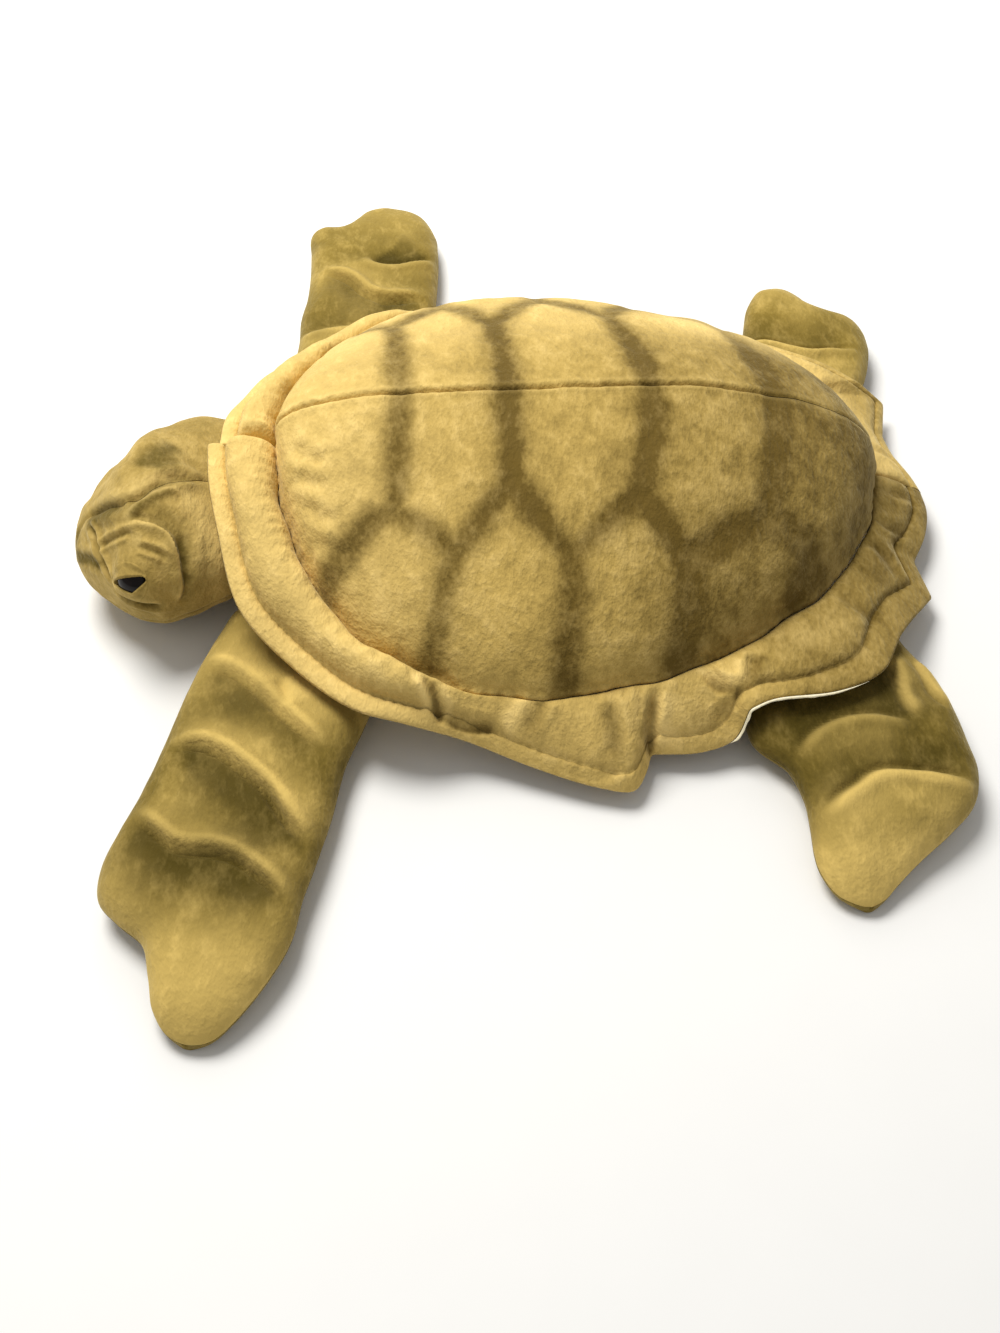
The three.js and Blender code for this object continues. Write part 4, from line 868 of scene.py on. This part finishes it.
def flipper_relief(spec, s, t, flat):
    """Rise of the upper cloth over its pillow, with painted shade and painted highlights."""
    kind, out = spec["kind"], s / spec["length"]
    dark, light = np.full(s.shape, spec["tone"]), np.zeros(s.shape)
    puff = ripples(flat, (1, 26, 42), (0.5, 12, 43))
    swell = 1.1 * puff
    for line, depth, shade, shine, way in spec["folds"]:
        close = rounded(line, LINE_STEP)
        away, share = near(flat[..., :2], close)
        upward = close if close[0, 1] <= close[-1, 1] else close[::-1]
        beyond = way * np.where(s > np.interp(t, upward[:, 1], upward[:, 0]), away, -away)
        ends = ease(share, 0.02, 0.22) * ease(1 - share, 0.02, 0.25)
        wide = 1 + 0.35 * ripple(flat, 24, 41)
        form = -1.3 * bump(beyond, 0, 2) + 0.85 * bump(beyond, -5.5, 4) - 0.45 * bump(beyond, 7, 7)
        swell += ends * depth * (form + 0.25 * bump(beyond, 26, 14))
        after = 0.8 * np.exp(-np.maximum(beyond, 0) / (17 * wide)) + 0.3 * bump(beyond, 9, 14)
        # Painted shade past the fold's line, fading away from it, and a painted highlight on the crest before it.
        dark += ends * shade * ease(beyond, -2.0, 0.5) * after
        light += ends * shine * (1.1 * bump(beyond, -4.6 * wide, 3.4) + 0.45 * bump(beyond, -12, 9))
    # Painted shade in the dips and by the root; painted highlights on the swells, toward the tip, by the root and on
    # the front flipper's lobe.
    dark += 0.2 * np.maximum(-puff, 0) + (0.3 - spec["root_light"]) * bump(out, 0.0, 0.16)
    light += 0.2 * np.maximum(puff, 0) + spec["bright"] * ease(out, 0.58, 0.9)
    light += spec["root_light"] * bump(out, 0.02, 0.14)
    light += 0.35 * ease(t, 22, 45) * ease(out, 0.52, 0.66) * (kind is FRONT)
    return swell, dark * (1 - 0.85 * ease(out, 0.66, 0.92)), light


def build_flipper(spec):
    name, kind, length = spec["name"], spec["kind"], spec["length"]
    lead, trail = flipper_plan(spec)
    across = (1 - np.cos(np.linspace(0, 1, 78) * math.pi)) / 2
    plan = lead[:, None] + (trail - lead)[:, None] * across[None, :, None]
    s, t = plan[..., 0], plan[..., 1]
    thick = kind["thick"] * through(*zip(*kind["depth"]), np.minimum(s / length, 1))
    rise = np.minimum(thick / 2, 2 + 0.75 * np.linalg.norm(trail - lead, axis=1)[:, None])
    c = 2 * across[None] - 1
    border = np.vstack([lead, trail[::-1], lead[:1]])
    inside = np.minimum(near(plan, border)[0] / (0.4 * kind["half"]), 1)
    pillow = (1 - (1 - inside) ** 2.4) ** 0.55
    flat = np.stack([s, t, np.full(s.shape, NOISE_LEVELS * len(name))], -1)
    swell, dark, light = flipper_relief(spec, s, t, flat)
    # Painted shade along the cover's edges, where it curves under.
    dark += 0.1 * (1 - np.minimum(1, (1 - np.abs(c)) / 0.12))
    high = np.maximum(pillow * rise + swell * np.minimum(1, 1.2 * pillow) * np.minimum(1, rise / 8), 0.2)
    ahead = heading(spec["heading"])
    aside = np.array([-ahead[1], ahead[0]]) * spec["side"]

    def placed(z):
        return np.concatenate([np.array(spec["root"]) + s[..., None] * ahead + t[..., None] * aside, z[..., None]], -1)

    seam = kind["thick"] / 2 * 0.96 * np.minimum(1, thick / kind["thick"] + 0.02)
    seam = seam + 0.5 * np.abs(c) ** 6 * ripple(flat, 9, 44)
    deep = np.minimum((1 - np.abs(c) ** 3.2) ** 0.6 * rise, seam - 0.3)
    top, floor = placed(seam + SEAM_GAP + high), placed(seam + SEAM_GAP)
    bottom, roof = placed(seam - SEAM_GAP - deep), placed(seam - SEAM_GAP)
    share_border(top, floor)
    share_border(bottom, roof)
    upper = f"{name}_upper", f"{name}_wadding", f"{name}_root"
    # The lower cover is darkened throughout: painted shade under the flipper.
    for word, grids, tones, nodes in (
        ("upper", (top, floor), {"dark": spread(dark), "light": spread(light)}, upper),
        ("lower", (roof, bottom), {"dark": 0.3}, (f"{name}_lower",)),
    ):
        obj = piece(f"{name}_{word}_cloth", *closed(*grids), **tones)
        dress(obj, limb_plush, "limb_plush", 0.7, *nodes)
        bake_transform(obj)


# Head and neck.

HEAD_TURN = 195
NOD = np.array([-189.0, -11.0, 0.0])
AHEAD = np.array([*heading(HEAD_TURN), 0])
ASIDE = np.array([-AHEAD[1], AHEAD[0], 0])
HEAD_BACK, CHEEK, HEAD_TIP = -34.0, 62.0, 76.6  # forward places of its hidden end, of the snout's start and of its tip
# Forward place, half width, half height, height of the middle, how far it sits to the head's left, and how
# square its section is.
HEAD_ROWS = np.array([
    (-34, 52.5, 16.3, 27.4, -17, 2.1), (-18, 57.5, 21.8, 29.1, -16.8, 2.2), (-6, 62, 26.3, 30.2, -14.6, 2.3),
    (4, 62.8, 29.8, 31.5, -10, 2.3), (13, 61.2, 32.9, 34, -4.7, 2.2), (22, 59.5, 36.2, 36.5, 0.5, 2.2),
    (31, 56.5, 37.6, 38, 6, 2.1), (41, 51, 36.6, 38, 12.5, 2),
    (51, 43.6, 32.3, 36.1, 14, 2), (58.5, 37.6, 26.6, 33.8, 11, 2), (66.5, 29.3, 19.4, 31.5, 7.5, 2),
    (72.2, 20, 12, 30.4, 7, 2), (75.2, 9, 6.8, 30.1, 7, 2), (76.6, 0.05, 0.05, 30, 7, 2),
])
MOUTH = 24.0  # height of the seam between the upper panels and the chin
# Where the two upper panels of the head meet: forward place and place across.
BROW_SEAM = np.array([
    (-34, -4), (-10, -1), (2, 1), (12, 4), (21, 9), (30, 15), (38, 19), (45, 18), (56, 8), (66, 0), (72, 3),
    (76.6, 7),
])
# Folds on the head's left side, mirrored to its right: points, depth, width, lips.
HEAD_FOLDS = [
    ([(64, 7, 54), (63, 17, 54), (63, 25, 52), (62, 34, 50), (60, 41, 47), (58, 46, 44)], 1.5, 1.6, 0.9),
    ([(61, 43, 43), (56, 51, 42), (50, 57, 42), (44, 62, 41), (37, 64, 40)], 1.6, 1.8, 0.8),
    ([(63, 26, 52), (58, 28, 58), (52, 33, 65), (45, 36, 68), (44, 41, 67)], 1.2, 1.6, 0.8),
    ([(43, 44, 66), (37, 48, 65), (33, 50, 63), (31, 53, 60)], 0.9, 1.5, 1.2),
    ([(76, 7, 33), (69, 24, 44), (62, 35, 47)], 1.0, 2.6, 0.6),
    ([(18, 39, 64), (20, 47, 60), (22, 55, 54), (25, 60, 45)], 1.1, 3.6, 0.5),
    ([(14, 51, 53), (12, 56, 44), (10, 58, 30)], 0.4, 4.0, 0.5),
]
# The left patch's edge round the eye, the crease over it, the shade behind it, and the crease along the brow.
PATCH = [
    (46, 30, 70), (41, 32, 72), (36, 34, 71), (32, 36, 70), (27, 40, 67), (25, 45, 63), (24, 51, 58), (25, 56, 53),
    (26, 60, 47), (29, 62, 41), (32, 63, 38),
]
PATCH_TOP = [(46, 30, 70), (43, 27, 73), (38, 23, 74), (31, 20, 75), (23, 15, 72), (15, 13, 69)]
PATCH_SHADE = [(33, 30, 73), (26, 32, 70), (22, 35, 67), (20, 41, 63), (21, 49, 59), (22, 56, 52)]
BROW = [(66, -1, 51), (56, 8, 63), (45, 19, 72), (38, 18, 75), (30, 13, 75), (21, 7, 72), (10, 2, 67), (1, 5, 64)]
# Darker places on the head: painted shade under the brow, along the snout's creases and beside the left patch, and
# darker patches on the crown: points, width and strength.
HEAD_SHADES = [
    ([(34, -2, 75), (27, -8, 74), (18, -18, 70), (9, -26, 66)], 7.5, 0.8),
    ([(26, 1, 74), (17, -5, 70), (10, -11, 67)], 5.0, 0.45),
    ([(66, 3, 51), (59, 10, 60), (50, 19, 69)], 7.5, 0.35),
    ([(76, 7, 33), (69, 24, 44), (62, 35, 47)], 4.0, 0.7),
    ([(72, -6, 42), (74, 6, 38), (73, 14, 32)], 6.0, 0.45),
    (PATCH_SHADE, 6.0, 0.25),
]
# Inside the patch of cloth round each eye.
LEFT_PATCH_EYE, RIGHT_PATCH_EYE = (48, 52, 48), (48, -40, 48)


def head_section(x):
    return [through(HEAD_ROWS[:, 0], HEAD_ROWS[:, k], x) for k in range(1, 6)]


def squared(turn, power):
    """Cosine and sine of the turn on an outline that is squarer than a circle above power 2."""
    c, s = np.cos(turn), np.sin(turn)
    return np.sign(c) * np.abs(c) ** (2 / power), np.sign(s) * np.abs(s) ** (2 / power)


def head_surface(x, turn):
    wide, high, up, aside, square = head_section(x)
    across, rise = squared(turn, square)
    return np.stack([x, aside + wide * across, up + high * rise], -1)


def shifted(points, forward, left, up):
    return [(a + forward, b + left, c + up) for a, b, c in points]


def mirrored(points):
    return [(a, -b, c) for a, b, c in points]


def patch_edge(p, line, eye, weight):
    """Push, painted shade and painted highlight along the edge of the patch round an eye."""
    close = rounded(line, LINE_STEP)
    away, share = near(p, close)
    on_line = respaced(close, share.ravel()).reshape(p.shape)
    outside = np.linalg.norm(p - eye, axis=-1) > np.linalg.norm(on_line - eye, axis=-1)
    signed = np.where(outside, away, -away)
    ends = weight * ease(share, 0, 0.12) * ease(1 - share, 0, 0.12)
    return ends * np.array([
        1.5 * bump(signed, -1.8, 2.6) - 1.5 * bump(signed, 2.2, 2.2),
        0.7 * ease(signed, -0.4, 1.0) * np.exp(-np.maximum(signed, 0) / 4.5),
        (0.25 + 0.45 * ease(share, 0.3, 0.6)) * bump(signed, -1.2, 1.3),
    ])


def head_relief(p):
    """Push along the normal, painted shade and painted highlights at points of the head in its own frame."""
    push = ripples(p, (0.9, 26, 51), (0.4, 10, 52))
    dark, light = np.full(push.shape, 0.1), np.full(push.shape, 0.04)
    x, y, z = p[..., 0], p[..., 1], p[..., 2]
    low = 1 - ease(z, 42, 54)
    # Folds and the brow push in, with painted shade in their creases and painted highlights on their lips.
    for line, depth, width, lips in HEAD_FOLDS:
        for way, weight in ((line, 1.0), (mirrored(line), low)):
            push += weight * groove(p, way, depth, width, lips, 0.2)
            dark += 0.4 * weight * depth * stain(p, way, width, 0.2)
            light += 0.22 * weight * depth * stain(p, shifted(way, -1, -1, 2 * width), width, 0.2)
    push += groove(p, BROW, 2.2, 3.2, 0.6, 0.12)
    dark += 0.55 * stain(p, shifted(BROW, 0, 3.5, 0), 5.0, 0.1)
    light += 0.5 * stain(p, shifted(BROW, -2, -4.5, 1), 3.0, 0.1)
    for way, eye, weight in ((PATCH, LEFT_PATCH_EYE, 1.0), (mirrored(PATCH), RIGHT_PATCH_EYE, low)):
        changes = patch_edge(p, way, eye, weight)
        push, dark, light = push + changes[0], dark + changes[1], light + changes[2]
    push += groove(p, shifted(PATCH_TOP, 0, -2.5, 0), 0.8, 2.2, 1.0) + groove(p, PATCH_SHADE, 1.6, 4.0, 0.2)
    # A painted highlight on the crease over the patch, and painted shade beside it.
    light += 0.5 * stain(p, PATCH_TOP, 2.0, 0.15)
    dark += 0.4 * stain(p, shifted(PATCH_TOP, 2, 4, 0), 3.0, 0.15)
    for way, width, strength in HEAD_SHADES:
        dark += strength * stain(p, way, width, 0.15)
    # Painted shade round the left eye, under the head and low on its left side; the upper right side darker.
    near_side = ease(y, -5, 35)
    dark += 0.1 * bump(np.linalg.norm(p - np.array([50.0, 50.0, 48.0]), axis=-1), 0, 20)
    dark += 0.35 * ease(-z, -26, -8) + 0.2 * ease(y, 30, 60) * ease(-z, -50, -30)
    dark += 0.13 * (1 - near_side) * ease(z, 30, 55)
    # Painted light on the back of the head's left side, lifting the shadow that the rim casts there.
    rear = near_side * ease(-x, -24, -6)
    return push, dark * (1 - 0.6 * rear), light + 0.5 * rear


# Where the eyes sit: forward share, then shares of the face's half width, half height, middle height and slump.
FACE_SHARES = np.array([
    (0.53, 0.8, 0.97, 1.01, 0.9), (0.66, 0.69, 0.85, 0.95, 1), (0.76, 0.6, 0.7, 0.89, 0.8),
])
FACE_REACH, FACE_WIDE, FACE_HIGH, FACE_SLUMP = 76.0, 64.0, 38.0, 14.0
EYE_SHARE = 0.65
EYE_RADIUS, EYE_DOME = 9.0, 6.0
EYES = {1: (29, 1.5), -1: (12, 3.0)}  # for the left and the right eye, degrees above the side and how far it is sunk in
# Round an eye the skin sinks inside the hollow's radii and swells inside the mound's.
HOLLOW, MOUND, HOLLOW_DEPTH, MOUND_HEIGHT = (6.5, 9.5), (8.0, 17.0), 7.1, 2.6
LID_OPENING, LID_REACH = (8.9, 5.6, 2.5), (11.6, 10.8)  # half width, rise and drop of the opening; the ring's size


def face(column, share):
    return float(np.interp(share, FACE_SHARES[:, 0], FACE_SHARES[:, column]))


def face_slope(column):
    return (face(column, EYE_SHARE + 0.01) - face(column, EYE_SHARE - 0.01)) / (0.02 * FACE_REACH)


def eye_axes(side):
    """Origin of an eye in the head's frame, with its forward, upward and outward axes."""
    wide, high = face(1, EYE_SHARE) * FACE_WIDE, face(2, EYE_SHARE) * FACE_HIGH
    degrees, sunk = EYES[side]
    c, s = heading(degrees)
    slope = -(c**2) * face_slope(1) * FACE_WIDE / wide - s**2 * face_slope(2) * FACE_HIGH / high
    out = unit(np.array([slope, side * c / wide, s / high]))
    aside = face(4, EYE_SHARE) * FACE_SLUMP + side * wide * c
    place = np.array([FACE_REACH * EYE_SHARE, aside, face(3, EYE_SHARE) * FACE_HIGH + high * s])
    forward = unit(np.array([1.0, 0, 0]) - out * out[0])
    return place - out * sunk, forward, np.cross(out, forward) * side, out


def from_head(p):
    return NOD + p[..., 0:1] * AHEAD + p[..., 1:2] * ASIDE + p[..., 2:3] * np.array([0, 0, 1.0])


def head_grid(x, low, high, count):
    """Points, painted shade and painted highlights of one head panel between two edges, given as turns about the head's
    length.
    """
    even = np.linspace(0, 1, count)
    share = (1 - np.cos(even * math.pi)) / 2 * 0.35 + even * 0.65
    p = head_surface(np.repeat(x[:, None], count, 1), low[:, None] + (high - low)[:, None] * share[None])
    n = normals_of(p, p - np.stack([p[..., 0] - 12, 0 * p[..., 1], 30 + 0 * p[..., 2]], -1))
    push, dark, light = head_relief(p)
    size = np.linalg.norm(np.diff(p, axis=1), axis=2)
    run = np.concatenate([np.zeros((len(x), 1)), np.cumsum(size, axis=1)], 1)
    border = np.minimum(run, run[:, -1:] - run)
    push += -0.6 * bump(border, 0, 1.6) + 0.3 * bump(border, 4, 2.5)
    # Painted shade in the groove along the panel's edges.
    dark += 0.15 * bump(border, 0, 1.8)
    for side in (-1, 1):
        origin, _, _, out = eye_axes(side)
        rel = p - origin
        height = rel @ out
        radial = np.linalg.norm(rel - height[..., None] * out, axis=-1)
        swell = MOUND_HEIGHT * (1 - ease(radial, *MOUND)) - HOLLOW_DEPTH * (1 - ease(radial, *HOLLOW))
        push += (np.abs(height) < 20) * swell
    tip = HEAD_TIP - p[..., 0]
    p = p + n * (push * ease(tip, 0, 6))[..., None]
    thin = CLOTH * ease(border, 0, 4) * ease(p[..., 0] - HEAD_BACK, 0, 5) * ease(HEAD_TIP - p[..., 0], 0, 14)
    return p, p - n * thin[..., None], dark, light


def eyelids(side):
    """A ring of cloth round an eye, from the almond opening out to the cheek."""
    origin, forward, up, out = eye_axes(side)
    count, ring = 96, np.linspace(0, 1, 22)
    turn = turns(count)
    c, s = np.cos(turn), np.sin(turn)
    wide = np.sign(c) * np.abs(c) ** 0.75
    reach, rise, drop = LID_OPENING
    edge = np.where(s > 0, rise * (1 - np.abs(wide)) ** 0.75, -drop * np.abs(s) ** 0.8)
    opening, far = np.stack([reach * wide, edge], 1), np.stack([c, s], 1) * LID_REACH
    flat = opening[:, None] * (1 - ring[None, :, None]) + far[:, None] * ring[None, :, None]
    below = flat[..., 1] < 0
    radial = np.linalg.norm(flat, axis=2)
    over_eye = EYE_DOME * np.sqrt(np.clip(1 - (radial / 9.6) ** 2, 0, 1)) + 0.9
    place = origin + flat[..., 0:1] * forward + flat[..., 1:2] * up
    skin = np.zeros_like(radial)
    for _ in range(8):
        x, y, z = np.moveaxis(place + skin[..., None] * out, -1, 0)
        half, high, mid, aside, _ = head_section(np.clip(x, HEAD_BACK, HEAD_TIP - 0.1))
        skin = skin + (1 - np.hypot((y - aside) / half, (z - mid) / high)) * np.minimum(half, high) * 0.8
    base = place + skin[..., None] * out
    push, dark, light = head_relief(base)
    over = ease(radial, 6.5, 9.4)
    height = over_eye * (1 - over) + skin * over - np.exp(-ring / 0.07)[None] + 0.5 * bump(ring[None], 0.16, 0.1)
    height += 0.7 * below * bump(radial, 6, 3.0)
    mound = MOUND_HEIGHT * (1 - ease(radial, *MOUND))
    raised = (mound + push + 0.1) * over - 1.2 * ease(radial, 9.6, 10.8)
    points = place + height[..., None] * out + raised[..., None] * normals_of(base, base * 0 + out)
    points = points.reshape(-1, 3)
    index = np.arange(len(points)).reshape(count, len(ring))
    index = np.vstack([index, index[:1]])
    faces = quads(index)
    rims = []
    for column in (0, len(ring) - 1):
        a, b = index[:-1, column], index[1:, column]
        rims.append(np.stack([a, b, b + len(points), a + len(points)], 1))
    # Painted shade at the opening's edge and under the lower lid.
    dark = dark + 0.3 * np.exp(-ring / 0.12)[None] + 0.15 * bump(ring[None], 0.55, 0.15) * below
    faces = np.vstack([faces, faces[:, ::-1] + len(points)] + rims)
    return np.vstack([points, points - 0.8 * out]), faces, np.tile(dark.ravel(), 2), np.tile(light.ravel(), 2)


def build_head():
    x = np.concatenate([np.linspace(HEAD_BACK, CHEEK, 190), CHEEK + (HEAD_TIP - CHEEK) * crowded(0, 46, 1)[1:]])
    x[-1] = HEAD_TIP
    wide, high, up, aside, square = head_section(x)
    rise = np.clip((MOUTH - up) / high, -0.8, 0.5)
    mouth = np.arcsin(np.sign(rise) * np.abs(rise) ** (square / 2))
    across = np.clip((through(*BROW_SEAM.T, x) - aside) / wide, -0.8, 0.8)
    crown = np.arccos(np.sign(across) * np.abs(across) ** (square / 2))
    panels = (
        ("head_left", 1, mouth, crown, 170, ["head_left_panel", "head_wadding"]),
        ("head_right", -1, crown, math.pi - mouth, 150, ["head_right_panel"]),
        ("chin", 0, math.pi - mouth, 2 * math.pi + mouth, 120, ["chin_panel"]),
    )
    for name, eye, low, top, count, nodes in panels:
        outer, inner, dark, light = head_grid(x, low, top, count)
        points, faces = closed(outer, inner)
        dark, light = spread(dark), spread(light)
        if eye:
            lids, lid_faces, more_dark, more_light = eyelids(eye)
            faces = np.vstack([faces, lid_faces + len(points)])
            points = np.vstack([points, lids])
            dark, light = np.concatenate([dark, more_dark]), np.concatenate([light, more_light])
        obj = piece(name, from_head(points), faces, dark=dark, light=light)
        dress(obj, head_plush, "limb_plush", 0.8, *nodes)
        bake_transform(obj)


NECK_FRONT, NECK_REAR = -156.0, -91.0
# Along the neck to the nod's axis: share of the way, half width, half height, middle height and step aside.
NECK_ROWS = np.array([(0, 0.7, 0.65, 0.79, 0), (0.6, 0.7, 0.66, 0.8, 0.12), (0.71, 0.745, 0.66, 0.81, 0.2)])
NECK_SIZES = 65.0, 31.0, 33.0, -11.0


def build_neck():
    rows, count = 60, 120
    x, turn = np.linspace(NECK_REAR, NECK_FRONT, rows), turns(count)
    along = (x - NECK_REAR) / (NOD[0] - NECK_REAR)
    wide, high, up, step = (
        (np.interp(along, NECK_ROWS[:, 0], column) * size)[:, None] for column, size in zip(NECK_ROWS.T[1:], NECK_SIZES)
    )
    wide, high = wide - 3.2, high - 1.5
    p = np.stack([x[:, None] + 0 * turn, step + wide * np.cos(turn), up + high * np.sin(turn)], -1)
    n = unit(np.stack([0 * p[..., 0], np.cos(turn) / wide, np.sin(turn) / high], -1))
    points = (p + n * (0.6 * ripple(p, 18, 61))[..., None]).reshape(-1, 3)
    points = np.vstack([points] + [[x[row], step[row, 0], up[row, 0]] for row in (0, -1)])
    index = tube_index(rows, count)
    faces = quads(index).tolist()
    for row, centre in ((0, rows * count), (-1, rows * count + 1)):
        faces += [[a, b, centre] for a, b in zip(index[row, :-1].tolist(), index[row, 1:].tolist())]
    # The neck is darkened throughout: painted shade under the rim.
    obj = piece("neck", points, faces, dark=0.25)
    dress(obj, head_plush, "limb_plush", 0.8, "neck_sleeve", "neck_wadding")
    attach(obj, "neck")


def build_eyes():
    steps, sides = 18, 48
    rise = np.linspace(0, math.pi / 2, steps)[:-1]
    shank = [(0.01, -11.0), (2, -11.0), (2, -0.6), (8.6, -0.6), (EYE_RADIUS, -0.2)]
    bead = [(EYE_RADIUS * math.cos(a), EYE_DOME * math.sin(a)) for a in rise]
    profile = np.array(shank + bead + [(0.01, EYE_DOME)])
    turn = turns(sides)[None, :, None]
    for word, side in (("left", 1), ("right", -1)):
        origin, forward, up, out = eye_axes(side)
        ring = profile[:, None, 0:1] * (np.cos(turn) * forward + np.sin(turn) * up)
        p = origin + ring + profile[:, None, 1:2] * out
        faces = quads(tube_index(len(profile), sides), side > 0)
        obj = piece(f"eye_{word}_bead", from_head(p.reshape(-1, 3)), faces)
        obj.data.materials.append(eye_plastic)
        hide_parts(f"eye_{word}")
        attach(obj, "head")
        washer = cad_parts[f"eye_washer_{word}"]
        washer.data.materials.clear()
        washer.data.materials.append(washer_plastic)


# Assembly.

for side in (-1, 1):
    build_dome(side)
build_belly()
build_rim(LEFT_EDGE, -1)
build_rim(RIGHT_EDGE, 1)
for spec in FLIPPERS:
    build_flipper(spec)
build_neck()
build_head()
build_eyes()


# Floor, lights and camera.

FLOOR_REACH, FLOOR_POINTS = 6000.0, 24


def build_floor():
    side = np.linspace(-FLOOR_REACH, FLOOR_REACH, FLOOR_POINTS)
    X, Y = np.meshgrid(side, side, indexing="ij")
    points = np.stack([X, Y, 0 * X - 0.1], -1).reshape(-1, 3)
    floor = piece("floor", points, quads(np.arange(FLOOR_POINTS**2).reshape(FLOOR_POINTS, FLOOR_POINTS)))
    nodes = Nodes("floor_paper")
    grain = nodes.noise(nodes.add("ShaderNodeTexCoord").outputs["Object"], 0.02)
    base = nodes.mix(grain, (0.9, 0.9, 0.89, 1), (0.92, 0.92, 0.91, 1))
    nodes.look(base, nodes.range(grain, 0.3, 0.7, 0.85, 0.95), Specular_IOR_Level=0.1)
    floor.data.materials.append(nodes.material)


def lamp(name, place, target, size, power, tint):
    data = bpy.data.lights.new(name, "AREA")
    data.shape, data.size, data.energy, data.color = "DISK", size, power, tint
    obj = bpy.data.objects.new(name, data)
    obj.location = place
    obj.rotation_euler = (Vector(target) - Vector(place)).to_track_quat("-Z", "Y").to_euler()
    bpy.context.scene.collection.objects.link(obj)


build_floor()
lamp("key", (-0.5, 0.5, 1.35), (0, 0, 0.03), 0.8, 24, (1, 0.98, 0.94))
lamp("back", (-0.2, 1.3, 1.1), (0, 0, 0.03), 1.0, 6, (1, 0.98, 0.95))
world = bpy.data.worlds.new("studio")
world.use_nodes = True
world.node_tree.nodes["Background"].inputs["Color"].default_value = (1, 0.99, 0.97, 1)
world.node_tree.nodes["Background"].inputs["Strength"].default_value = 0.36
bpy.context.scene.world = world
bpy.context.scene.view_settings.view_transform = "Standard"

camera_data = bpy.data.cameras.new("camera")
camera_data.sensor_width, camera_data.lens = 36, 36.46
camera_data.clip_start, camera_data.clip_end = 0.02, 50
camera = bpy.data.objects.new("camera", camera_data)
camera.rotation_euler = (math.radians(39), 0, math.radians(-3.5))
camera.location = (-0.0674, -0.5444, 0.5506)
bpy.context.scene.collection.objects.link(camera)
bpy.context.scene.camera = camera
